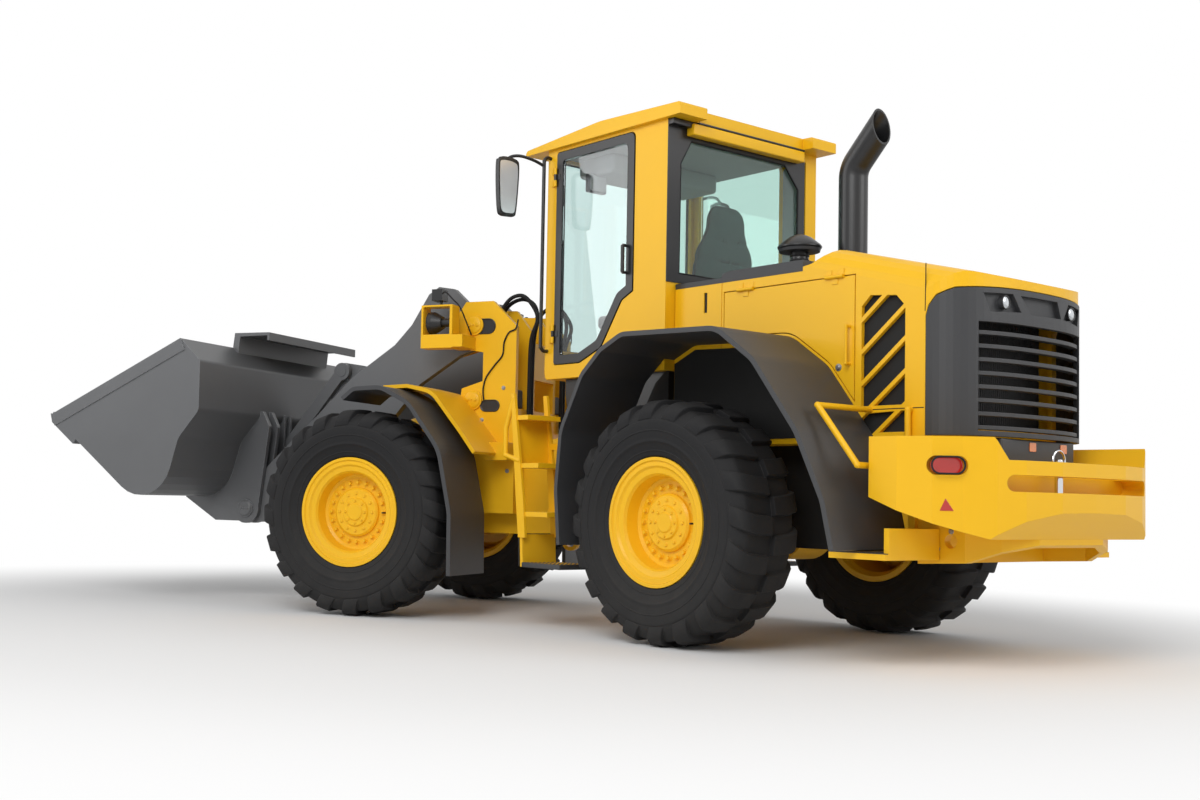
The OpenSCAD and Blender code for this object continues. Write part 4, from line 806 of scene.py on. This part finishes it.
class LOADER_OT_cab_trim(bpy.types.Operator):
    """Adds the rear window's dark frame, the seals, the lining, the console and the mirrors"""
    bl_idname = "loader.cab_trim"
    bl_label = "Cab Trim"

    def execute(self, context):
        seal = settings()[2].seal
        # The frame's upper corners are cut, as the glass shows them
        outer = [(-0.575, 2.14), (0.7, 2.14), (0.7, 2.9), (0.7, 3.138), (-0.575, 3.138),
                 (-0.575, 2.9)]
        inner = [(-0.512, 2.2), (0.59, 2.2), (0.59, 2.88), (0.5, 3.03), (-0.375, 3.03),
                 (-0.512, 2.885)]
        dark = [framed(outer, inner, CAB_BACK - 0.0054, CAB_BACK - STAND_OFF, "x"),
                soft_box((0.37, 0.5, 3.1), (CAB_BACK - 0.002, CAB_SIDE, 3.138), 0.006),
                soft_box((0.35, -0.5, 3.126), (CAB_BACK - 0.001, 0.5, 3.139), 0.005)]
        add_all("rear_window_frame", dark, rear, "Black Paint")
        header = soft_box((0.35, -0.5, 3.055), (CAB_BACK - 0.0056, 0.545, 3.125), 0.008)
        add_all("rear_header", [header], rear, "Yellow Paint")
        loops = [np.array([(CAB_BACK - 0.0015, y, z) for y, z in inner]),
                 np.array([(1.536, y, z) for y, z in round_rect((-0.62, 1.8), (0.62, 3.078),
                                                                0.05, 4)])]
        seals = [tube(rear(loop), seal * 0.6, 8, 1, True, (1, 0, 0)) for loop in loops]
        add("window_seals", join(*seals), "Rubber", "rear_body")
        lining = [soft_box((0.47, -0.64, 3.095), (1.49, 0.64, 3.137), 0.012),
                  soft_box((0.5, -0.65, 2.09), (0.62, -0.58, 3.08), 0.03),
                  soft_box((1.12, -0.5, 2.97), (1.46, 0.5, 3.1), 0.03)]
        add_all("cab_lining", lining, rear, "Cab Lining")
        inside = [soft_box((1.3, 0.38, 2.86), (1.345, 0.54, 2.985), 0.012),
                  tube([(1.33, 0.46, 2.92), (1.36, 0.46, 3.0), (1.36, 0.46, 3.1)], 0.008,
                       up=(0, 1, 0)),
                  soft_box((0.52, -0.62, 2.075), (1.1, -0.4, 2.115), 0.02),
                  soft_box((1.34, -0.3, 1.97), (1.47, 0.3, 2.06), 0.03)]
        levers = [tube([(0.98 + k * 0.05, -0.46, 2.1), (0.985 + k * 0.05, -0.46, 2.2)], 0.007,
                       up=(0, 1, 0)) for k in range(3)]
        knobs = [soft_box((0.965 + k * 0.05, -0.48, 2.19), (1.005 + k * 0.05, -0.44, 2.235),
                          0.018) for k in range(3)]
        add_all("cab_fittings", [*inside, *levers, *knobs], rear, "Moulded Plastic")
        glass = slab(round_rect((0.39, 2.87), (0.53, 2.975), 0.012), 1.2975, 1.2998, "x")
        add_all("cab_mirror_glass", [glass], rear, "Mirror")
        self.outside_mirrors()
        return {"FINISHED"}

    def outside_mirrors(self):
        """Bent tube frames beside the cab and a rounded, tapering head on each."""
        frames, heads, glasses = [], [], []
        for side in (-1, 1):
            rail = np.array([(1.515, CAB_SIDE + 0.0003, 3.09), (1.515, 0.735, 3.09), (1.515, 0.757, 3.065),
                             (1.515, 0.76, 3.0), (1.515, 0.76, 2.4), (1.515, 0.76, 1.86),
                             (1.515, 0.757, 1.815), (1.515, 0.735, 1.79),
                             (1.515, CAB_SIDE + 0.0003, 1.79)]) * (1, side, 1)
            arm = np.array([(1.515, 0.757, 3.03), (1.53, 0.84, 3.06), (1.55, 0.95, 3.075),
                            (1.575, 1.02, 3.05), (1.58, 1.02, 2.98)]) * (1, side, 1)
            frames += [tube(rail, 0.0125, 12, 6, up=(1, 0, 0)),
                       tube(arm, 0.0105, 12, 6, up=(1, 0, 0.2))]
            corners = smooth_path([(0.955, 3.045), (1.02, 3.057), (1.09, 3.05), (1.108, 3.02),
                                   (1.106, 2.86), (1.092, 2.7), (1.07, 2.663), (1.02, 2.66),
                                   (0.972, 2.668), (0.955, 2.71), (0.94, 2.88),
                                   (0.937, 3.01)], 4, True) * (side, 1)
            middle = corners.mean(0)
            heads += [framed(corners, middle + (corners - middle) * 0.88, 1.5605, 1.572, "x"),
                      slab(middle + (corners - middle) * 0.97, 1.571, 1.5995, "x")]
            glasses.append(slab(middle + (corners - middle) * 0.885, 1.5625, 1.5712, "x"))
        body = add_all("mirrors_left_and_right", [*frames, *heads], rear, "Black Paint")
        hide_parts("mirrors")
        add_all("mirror_glasses", glasses, rear, "Mirror")


class LOADER_OT_hood_trim(bpy.types.Operator):
    """Adds the vents' dark backs, the panel slot, seams, locks and the hump by the cab"""
    bl_idname = "loader.hood_trim"
    bl_label = "Hood Trim"

    def execute(self, context):
        backs, seams, locks = [], [], []
        for side in (-1, 1):
            low, high = sorted((side * (HOOD_SIDE - 0.048), side * (HOOD_SIDE - 0.0275)))
            backs.append(slab([(-1.235, 1.17), (-0.945, 1.17), (-0.945, 1.925),
                               (-1.235, 1.925)], low, high))
            low, high = sorted((side * (HOOD_SIDE - 0.0142), side * (HOOD_SIDE - 0.0075)))
            backs.append(slab(round_rect((0.1525, 1.9305), (0.1775, 2.0495), 0.003, 3),
                              low, high))
            for path in ([(-0.93, 1.3105), (-1.1, 1.3105), (-1.338, 1.3105)],
                         [(-1.342, 1.8), (-1.344, 1.9), (-1.345, 2.045)]):
                line = [(x, side * (HOOD_SIDE - 0.0005), z) for x, z in path]
                seams.append(tube(line, 0.0028, 6, 2, up=(0, 1, 0)))
            lock = revolve([(0, 0.012), (0.009, 0.012), (0.012, 0.009), (0.012, 0.004),
                            (0.02, 0.003), (0.02, -0.002)], 24)
            locks.append(copies(lock, [(-0.809, side * HOOD_SIDE, 1.545)], (0, side, 0)))
        add_all("vent_backs", backs, rear, "Vent Mesh")
        add_all("hood_seams", seams, rear, "Rubber")
        for side, shape in zip(("right", "left"), locks):
            add("door_lock_" + side, moved(shape, rear), "Bolt Steel",
                "engine_door_body_" + side)
        # Thin dark sheets of painted shade lie on the yellow faces inside the arch over each rear wheel,
        # by the footwell and on the frame's girder
        arch = [(0.41, 1.17), (0.41, 1.64), (0.24, 1.715), (-0.46, 1.69), (-0.7, 1.525),
                (-0.95, 1.2), (-0.95, 1.17)]
        footwell = [(0.44, 1.25), (0.72, 1.25), (0.55, 1.53), (0.44, 1.62)]
        girder = [(-0.75, 0.56), (0.45, 0.56), (0.45, 1.16), (-0.75, 1.16)]
        shade_sheets = []
        for side in (-1, 1):
            for outline, face in ((arch, HOOD_SIDE), (footwell, CONSOLE_SIDE),
                                  (girder, FRAME_SIDE)):
                inner = face + STAND_OFF
                low, high = sorted((side * inner, side * (inner + 0.003)))
                shade_sheets.append(slab(outline, low, high))
        add_all("arch_shade_sheets", shade_sheets, rear, "Vent Mesh")
        # The hump rises towards the cab by a bell curve across and a slope along
        u, v = np.meshgrid(np.linspace(0, 1, 25), np.linspace(-1, 1, 41), indexing="ij")
        rise = 0.075 * np.exp(-(np.abs(v) / 0.72) ** 4) * np.clip(1.35 * u, 0, 1) ** 0.7
        top = np.stack([0.05 + 0.363 * u, 0.6 * v, 2.118 + 0.012 * (u > 0) + rise], axis=-1)
        under = top * (1, 1, 0) + (0, 0, 2.11)
        grid = np.concatenate([top, under[::-1]]).reshape(-1, 3)
        rim = [list(range(0, 50 * 41, 41)), list(range(40, 50 * 41, 41))[::-1]]
        hump = grid, quads(50, 41, True, False).tolist() + rim
        add_all("deck_hump", [hump], rear, "Moulded Plastic", 50)
        # The precleaner's mushroom cap on its ribbed neck
        x, y = -0.19, 0.2
        cap = revolve([(0, 2.405), (0.03, 2.403), (0.07, 2.385), (0.12, 2.345), (0.1295, 2.333),
                       (0.1295, 2.325), (0.118, 2.312), (0.06, 2.306), (0.054, 2.3),
                       (0.0535, 2.18), (0.062, 2.165), (0.062, 2.1602)], 48, (x, y, 0))
        bands = [revolve(circle(0.004, 8) + (0.0545, z), 48, (x, y, 0), closed=True)
                 for z in (2.2, 2.225, 2.25, 2.275)]
        add_all("precleaner", [cap, *bands], rear, "Black Paint")
        return {"FINISHED"}


class LOADER_OT_grille_trim(bpy.types.Operator):
    """Adds the rear lamps' lenses and rims, the screen behind the slats and the lower strip"""
    bl_idname = "loader.grille_trim"
    bl_label = "Grille Trim"

    def execute(self, context):
        out = (-1, 0, 0)
        lens = revolve([(0, 0.006), (0.015, 0.0055), (0.026, 0.003), (0.0315, 0)], 40)
        rim = revolve(circle(0.004, 8) + (0.0335, 0.001), 40, closed=True)
        places = [(GRILLE_BACK + 0.001, side * 0.31, 1.85) for side in (-1, 1)]
        add("work_lamp_lenses", moved(copies(lens, places, out), rear), "Lamp Lens",
            "grille_body")
        add("work_lamp_rims", moved(copies(rim, places, out), rear), "Black Paint",
            "grille_body")
        fins = [soft_box((-1.2835, y - 0.0012, 1.17), (-1.2802, y + 0.0012, 1.885), 0.001, 2)
                for y in np.arange(-0.53, 0.531, 0.02)]
        add_all("radiator_fins", fins, rear, "Cast Iron")
        bar = soft_box((GRILLE_BACK, -0.34, 1.0405), (-1.55, 0.34, 1.163), 0.01)
        add_all("rear_strip", [bar], rear, "Moulded Plastic")
        squares = [slab(round_rect((y - 0.03, 1.104), (y + 0.03, 1.15), 0.004, 3),
                        GRILLE_BACK - 0.0035, GRILLE_BACK + 0.0005, "x")
                   for y in (0.063, -0.231)]
        add_all("strip_reflectors", squares, rear, "Amber Lens")
        return {"FINISHED"}


class LOADER_OT_rear_trim(bpy.types.Operator):
    """Adds the tow pin, the tail lamps' rims, the small reflectors and the rear bolts"""
    bl_idname = "loader.rear_trim"
    bl_label = "Rear Trim"

    def execute(self, context):
        pin = revolve([(0, 0.24), (0.016, 0.24), (0.02, 0.234), (0.02, 0.006), (0.014, 0),
                       (0, 0)], 32, (-1.765, 0.1, 0.8205))
        t = np.linspace(-0.25 * math.pi, 1.25 * math.pi, 33)
        loop = np.stack([np.full(33, -1.765), 0.1 + 0.055 * np.cos(t), 1.055 + 0.05 * np.sin(t)],
                        axis=1)
        handle = tube(loop, 0.0055, 10, 2, up=(1, 0, 0))
        add_all("tow_pin", [pin, handle], rear, "Chrome")
        rims, marks = [], []
        for side in (-1, 1):
            ahead = np.array([-1, side, 0]) / math.sqrt(2)
            along = np.array([side, 1, 0]) / math.sqrt(2)
            centre = np.array([-1.65, side * 0.88, 1.008])
            edge = np.c_[round_rect((-0.076, -0.04), (0.076, 0.04), 0.0385, 8),
                         np.full(32, -0.023)]
            rims.append(tube(placed(edge, centre, along, (0, 0, 1)) if side > 0 else
                             placed(edge * (1, 1, -1), centre, along, (0, 0, 1)),
                             0.0045, 8, 1, True, ahead))
            corners = np.array([(-0.032, -0.028), (0.032, -0.028), (0.006, 0.03)])
            flat = np.concatenate([corners, corners])
            high = np.repeat([-0.002, 0.003], 3)[:, None] * side
            points = placed(np.concatenate([flat, high], 1), (-1.648, side * 0.882, 0.82),
                            along, (0, 0, 1))
            marks.append((points, quads(2, 3, False, True).tolist() + [[0, 1, 2], [5, 4, 3]]))
        add_all("tail_lamp_rims", rims, rear, "Rubber")
        add_all("side_reflectors", marks, rear, "Red Lens")
        places = [(-1.482, 0.594, 0.69), (-1.405, 0.594, 0.6), (-1.482, -0.594, 0.69),
                  (-1.405, -0.594, 0.6)]
        axes = [(0, 1, 0), (0, 1, 0), (0, -1, 0), (0, -1, 0)]
        bolts = [copies(bolt_head(0.011, 0.01), [p], a) for p, a in zip(places, axes)]
        add_all("chin_bolts", bolts, rear, "Bolt Steel")
        return {"FINISHED"}


def pin_cap(radius):
    """A retaining plate over a pin's end: a chamfered disc, two bolts and a grease nipple."""
    disc = revolve([(0, 0.012), (radius * 0.82, 0.012), (radius * 0.9, 0.009), (radius, 0)], 40)
    bolts = copies(bolt_head(0.011, 0.009), [(0.45 * radius, 0, 0.011), (-0.45 * radius, 0, 0.011)],
                   (0, 0, 1))
    nipple = revolve([(0, 0.024), (0.004, 0.022), (0.004, 0.016), (0.006, 0.012)], 10)
    return join(disc, bolts, nipple)


class LOADER_OT_linkage_trim(bpy.types.Operator):
    """Adds pin caps, cylinder glands, hoses and dark sheets of painted shade over the tower's oval holes
    """
    bl_idname = "loader.linkage_trim"
    bl_label = "Linkage Trim"

    def execute(self, context):
        hose = settings()[2].hose
        arm, base = pin_of("boom_lift"), pin_of("lift_barrel_turn_left")
        nose = pin_of("bucket_tilt")
        # The lift eye hangs below the line from the arm's pivot to its nose
        along = (nose - arm) / np.linalg.norm(nose - arm)
        above = np.array((-along[1], along[0]))
        eye = arm + 1.35 * along - 0.12 * above
        for name, spot, y, radius, body, finish in (
                ("arm_pin_caps", arm, 0.509, 0.062, "front_body", "Yellow Paint"),
                ("lift_pin_caps", base, 0.512, 0.062, "front_body", "Yellow Paint"),
                ("lift_eye_caps", eye, 0.464, 0.052, "lift_arm_body", "Steel Paint"),
                ("nose_pin_caps", nose, 0.507, 0.06, "bucket_body", "Steel Paint")):
            caps = [copies(pin_cap(radius), [(spot[0], side * y, spot[1])], (0, side, 0))
                    for side in (-1, 1)]
            add(name, moved(join(*caps), front), finish, body)
        # Flat dark sheets over the two oval holes of each tower plate are painted shade of the holes'
        # insides, each with a dark rim round its edge
        ovals = []
        for side in (-1, 1):
            low, high = sorted((side * (TOWER_SIDE - 0.001), side * (TOWER_SIDE + 0.0035)))
            for (x, z), (w, h) in (((2.357, 1.99), (0.17, 0.1)), ((2.3, 1.438), (0.14, 0.075))):
                edge = round_rect((x - w / 2, z - h / 2), (x + w / 2, z + h / 2), h / 2.02, 8)
                ovals.append(slab(edge, low, high))
                ovals.append(tube([(p[0], side * (TOWER_SIDE + 0.002), p[1]) for p in edge],
                                  0.005, 8, 1, True, (0, 1, 0)))
        add_all("tower_hole_shade", ovals, front, "Black Paint")
        # Hoses clamped to the tower, loops over its top and a thin cable down its side
        lines = []
        for side in (-1, 1):
            for k in range(2):
                y = side * (0.27 + 0.045 * k)
                lines.append(tube([(2.33, y, 2.02), (2.31, y, 2.12), (2.24, y, 2.185 + 0.02 * k),
                                   (2.15, y, 2.2 + 0.02 * k), (2.075, y, 2.15),
                                   (2.055 - 0.02 * k, y, 2.05), (2.08, y, 1.9),
                                   (2.088, y, 1.6), (2.088, y, 1.28)], hose, 12, 6,
                                  up=(0, 1, 0)))
            cable = [(2.103, 0.49, 2.03), (2.115, 0.504, 1.965), (2.165, 0.5045, 1.941),
                     (2.2, 0.5045, 1.873), (2.21, 0.5045, 1.787), (2.266, 0.5045, 1.719),
                     (2.331, 0.5045, 1.634), (2.352, 0.5045, 1.55), (2.345, 0.504, 1.47)]
            lines.append(tube(np.array(cable) * (1, side, 1), 0.0055, 8, 6, up=(0, 1, 0.1)))
        add_all("tower_hoses", lines, front, "Rubber")
        # Boxes of valves between the tower's plates, seen from behind
        valves = [soft_box((2.155, side * 0.34 - 0.075, 1.43), (2.2, side * 0.34 + 0.075, 1.56),
                           0.012) for side in (-1, 1)]
        add_all("tower_valves", valves, front, "Cast Iron")
        self.glands()
        return {"FINISHED"}

    def glands(self):
        """A dark ring where each rod leaves its barrel, on the barrel's own end."""
        for kind, radius, rod in (("lift", 0.08, 0.038), ("tilt", 0.084, 0.04)):
            for side in (("left", 1), ("right", -1)) if kind == "lift" else (("", 0),):
                tag = "_" + side[0] if side[0] else ""
                body = kind + "_barrel_body" + tag
                pin = next(joint for joint in JOINTS.values() if joint["child"] == body)
                start = np.array(pin["pos_m"], float)
                direction = np.array(JOINTS[kind + "_rod_slide" + tag]["axis"], float)
                tip = self.barrel_end(kind + "_barrel" + tag, direction)
                at = start + direction * ((tip - start) @ direction)
                shape = revolve([(rod + 0.001, 0.012), (radius * 0.8, 0.012),
                                 (radius * 0.9, 0.008), (radius * 0.92, -0.002),
                                 (rod + 0.001, -0.002)], 40, at, direction, True)
                add(kind + "_gland" + tag, shape, "Black Paint", body)

    def barrel_end(self, node, direction):
        """The point of a barrel's mesh that lies furthest along its rod."""
        data = np.empty(len(frame["nodes"][node].data.vertices) * 3)
        frame["nodes"][node].data.vertices.foreach_get("co", data)
        points = data.reshape(-1, 3)
        return points[np.argmax(points @ direction)]


class LOADER_OT_front_lamps(bpy.types.Operator):
    """Adds the headlamps' lenses, the indicators and the work lamps' faces"""
    bl_idname = "loader.front_lamps"
    bl_label = "Front Lamps"

    def execute(self, context):
        lens, amber, rims = [], [], []
        dome = revolve([(0, 0.012), (0.03, 0.0105), (0.055, 0.0065), (0.07, 0)], 48)
        rim = revolve(circle(0.004, 8) + (0.0735, 0.0), 48, closed=True)
        for side in (-1, 1):
            middle = side * LAMP_SIDE
            lens.append(copies(dome, [(LAMP_FACE, middle, 2.004)], (1, 0, 0)))
            rims.append(copies(rim, [(LAMP_FACE - 0.0005, middle, 2.004)], (1, 0, 0)))
            face = round_rect((middle - 0.038, 2.161), (middle + 0.038, 2.227), 0.01)
            lens.append(slab(face, 2.6598, 2.6635, "x"))
            mark = round_rect((middle - 0.04, 1.835), (middle + 0.05, 1.9), 0.01)
            amber.append(slab(mark, 2.7398, 2.745, "x"))
            wire = [(2.59, 0.69, 2.2), (2.56, 0.7, 2.21), (2.51, 0.69, 2.16), (2.47, 0.66, 2.11),
                    (2.45, 0.6, 2.02), (2.44, 0.53, 1.93)]
            rims.append(tube(np.array(wire) * (1, side, 1), 0.005, 8, 6, up=(0.2, 1, 0.3)))
        add_all("headlamp_lenses", lens, front, "Lamp Lens")
        add_all("indicators", amber, front, "Amber Lens")
        add_all("lamp_wires_and_rims", rims, front, "Rubber")
        return {"FINISHED"}


class LOADER_OT_steps(bpy.types.Operator):
    """Adds studs on the ladder's treads, dark plates on the low steps, a dark sheet of painted shade on
    the back of the lowest riser, and bolts on the tower's plates
    """
    bl_idname = "loader.steps"
    bl_label = "Steps"

    def execute(self, context):
        stud = revolve([(0, 0.004), (0.004, 0.0038), (0.008, 0)], 8)
        places = []
        for height, x0, x1 in ((1.33, 1.17, 1.29), (1.026, 1.07, 1.25), (0.722, 0.98, 1.21),
                               (0.405, 0.86, 1.17)):
            x, y = np.meshgrid(np.arange(x0 + 0.02, x1, 0.035), np.arange(0.895, 1.12, 0.035),
                               indexing="ij")
            places.append(np.stack([x, y, np.full_like(x, height - 0.0005)], -1).reshape(-1, 3))
        places = np.concatenate(places)
        places = np.concatenate([places, places * (1, -1, 1)])
        add("tread_studs", moved(copies(stud, places, (0, 0, 1)), rear), "Yellow Paint",
            "rear_body")
        plates = []
        for side in (-1, 1):
            low, high = sorted((side * 0.8665, side * 1.1435))
            plates.append(soft_box((0.838, low, 0.3765), (1.2, high, 0.4068), 0.004))
            # A thin dark sheet on the back of the lowest riser is painted shade
            plates.append(slab([(1.2365, 0.585), (1.2255, 0.383), (1.2275, 0.383),
                                (1.2385, 0.585)], low, high))
            low, high = sorted((side * 0.63, side * 1.035))
            plates.append(soft_box((-1.415, low, 0.5745), (-1.09, high, 0.5785), 0.002))
        add_all("step_plates_and_riser_shade", plates, rear, "Moulded Plastic")
        bolts = []
        for side in (-1, 1):
            spots = [(x, side * (TOWER_SIDE + 0.0005), z)
                     for x, z in ((2.2, 1.56), (2.44, 1.24), (2.4, 1.29), (2.36, 1.34),
                                  (2.16, 0.99), (2.16, 1.15))]
            bolts.append(copies(bolt_head(0.011, 0.009), spots, (0, side, 0)))
        add_all("tower_bolts", bolts, front, "Bolt Steel")
        return {"FINISHED"}


class LOADER_OT_stage(bpy.types.Operator):
    """Makes the floor, the even sky, the lamps and the camera"""
    bl_idname = "loader.stage"
    bl_label = "Stage"

    def execute(self, context):
        stage = settings()[3]
        scene = context.scene
        scene.view_settings.view_transform = "Standard"
        make_sky(scene, stage)
        make_floor(stage)
        for name, power, place, size, aim in (
                ("key_lamp", stage.key, (-6.5, 8.5, 8.0), 6.0, (0, 0, 1.2)),
                ("rear_lamp", stage.key * 0.35, (-10.0, -4.0, 6.0), 5.0, (-1, 0, 1.2)),
                ("front_lamp", stage.key * 0.3, (6.0, 9.0, 5.0), 5.0, (1, 0, 1.0))):
            data = bpy.data.lights.new(name, "AREA")
            data.energy, data.size = power, size
            lamp = bpy.data.objects.new(name, data)
            lamp.location = place
            lamp.rotation_euler = (Vector(aim) - Vector(place)).to_track_quat("-Z", "Y").to_euler()
            scene.collection.objects.link(lamp)
        make_camera(scene, stage)
        return {"FINISHED"}


def make_sky(scene, stage):
    """Even light for the object, and plain white where the camera or a reflection looks."""
    world = bpy.data.worlds.new("Sky")
    scene.world = world
    world.use_nodes = True
    tree = world.node_tree
    ground = tree.nodes["Background"]
    ground.inputs["Color"].default_value = (1, 1, 1, 1)
    path = tree.nodes.new("ShaderNodeLightPath")
    seen = math_node(tree, "ADD", path.outputs["Is Camera Ray"],
                     path.outputs["Is Transmission Ray"], True)
    soft = math_node(tree, "MULTIPLY", path.outputs["Is Glossy Ray"], 0.9)
    seen = math_node(tree, "MAXIMUM", seen, soft)
    strength = math_node(tree, "MULTIPLY", seen, 1.0 - stage.sky)
    tree.links.new(math_node(tree, "ADD", strength, stage.sky), ground.inputs["Strength"])


def make_floor(stage):
    """A pale floor that keeps the shadow near the object and turns to plain white far out."""
    low, high = (np.array(corner) for corner in CAD_BOX)
    middle = (low + high) / 2
    reach = np.linspace(-1, 1, 5) ** 3 * 60
    x, y = np.meshgrid(reach + middle[0], reach + middle[1], indexing="ij")
    points = np.stack([x, y, np.full_like(x, low[2] - 0.0005)], axis=-1).reshape(-1, 3)
    mesh = bpy.data.meshes.new("floor")
    mesh.from_pydata(points.tolist(), [], quads(5, 5).tolist())
    floor = bpy.data.objects.new("floor", mesh)
    bpy.context.scene.collection.objects.link(floor)
    material = bpy.data.materials.new("Floor")
    material.use_nodes = True
    tree = material.node_tree
    shader = tree.nodes["Principled BSDF"]
    shader.inputs["Base Color"].default_value = (*stage.floor, 1)
    shader.inputs["Roughness"].default_value = 0.9
    shader.inputs["Specular IOR Level"].default_value = 0.1
    place = tree.nodes.new("ShaderNodeTexCoord")
    far = tree.nodes.new("ShaderNodeVectorMath")
    far.operation = "LENGTH"
    tree.links.new(place.outputs["Object"], far.inputs[0])
    ramp = tree.nodes.new("ShaderNodeMapRange")
    ramp.interpolation_type = "SMOOTHSTEP"
    ramp.inputs["From Min"].default_value = 3.6
    ramp.inputs["From Max"].default_value = 7.0
    tree.links.new(far.outputs["Value"], ramp.inputs["Value"])
    white = tree.nodes.new("ShaderNodeEmission")
    path = tree.nodes.new("ShaderNodeLightPath")
    seen = math_node(tree, "ADD", path.outputs["Is Camera Ray"],
                     path.outputs["Is Transmission Ray"], True)
    mix = tree.nodes.new("ShaderNodeMixShader")
    tree.links.new(math_node(tree, "MULTIPLY", ramp.outputs["Result"], seen), mix.inputs[0])
    tree.links.new(shader.outputs[0], mix.inputs[1])
    tree.links.new(white.outputs[0], mix.inputs[2])
    tree.links.new(mix.outputs[0], tree.nodes["Material Output"].inputs["Surface"])
    mesh.materials.append(material)


def make_camera(scene, stage):
    """The photograph's viewpoint: from behind on the left, low and nearly level."""
    yaw, pitch, roll = (math.radians(angle) for angle in VIEW_TURN)
    ahead = Vector((math.cos(yaw) * math.cos(pitch), math.sin(yaw) * math.cos(pitch),
                    math.sin(pitch)))
    right = ahead.cross(Vector((0, 0, 1))).normalized()
    rise = right.cross(ahead)
    right, rise = (right * math.cos(roll) + rise * math.sin(roll),
                   rise * math.cos(roll) - right * math.sin(roll))
    data = bpy.data.cameras.new("camera")
    data.lens, data.sensor_width = stage.lens, 36.0
    data.shift_x, data.shift_y = VIEW_SHIFT
    camera = bpy.data.objects.new("camera", data)
    camera.matrix_world = Matrix.Translation(VIEW_PLACE) @ Matrix(
        (right, rise, -ahead)).transposed().to_4x4()
    scene.collection.objects.link(camera)
    scene.camera = camera


class LOADER_PT_panel(bpy.types.Panel):
    """The loader's steps, in order"""
    bl_label = "Wheel Loader"
    bl_idname = "LOADER_PT_panel"
    bl_space_type = "VIEW_3D"
    bl_region_type = "UI"
    bl_category = "Loader"

    def draw(self, context):
        for group in settings():
            box = self.layout.box()
            for key in group.__annotations__:
                box.prop(group, key)
        for step in STEPS:
            self.layout.operator(step.bl_idname)


STEPS = (LOADER_OT_finishes, LOADER_OT_tyres, LOADER_OT_wheel_bolts, LOADER_OT_seat,
         LOADER_OT_cab_trim, LOADER_OT_hood_trim, LOADER_OT_grille_trim, LOADER_OT_rear_trim,
         LOADER_OT_linkage_trim, LOADER_OT_front_lamps, LOADER_OT_steps, LOADER_OT_stage)
GROUPS = {"loader_paint": PaintSettings, "loader_tyre": TyreSettings,
          "loader_trim": TrimSettings, "loader_stage": StageSettings}


def register():
    for group in GROUPS.values():
        bpy.utils.register_class(group)
    for name, group in GROUPS.items():
        setattr(bpy.types.Scene, name, bpy.props.PointerProperty(type=group))
    for step in STEPS:
        bpy.utils.register_class(step)
    bpy.utils.register_class(LOADER_PT_panel)


def unregister():
    bpy.utils.unregister_class(LOADER_PT_panel)
    for step in reversed(STEPS):
        bpy.utils.unregister_class(step)
    for name in GROUPS:
        delattr(bpy.types.Scene, name)
    for group in reversed(GROUPS.values()):
        bpy.utils.unregister_class(group)


def main():
    register()
    for step in STEPS:
        area, name = step.bl_idname.split(".")
        getattr(getattr(bpy.ops, area), name)()


if __name__ == "__main__":
    main()
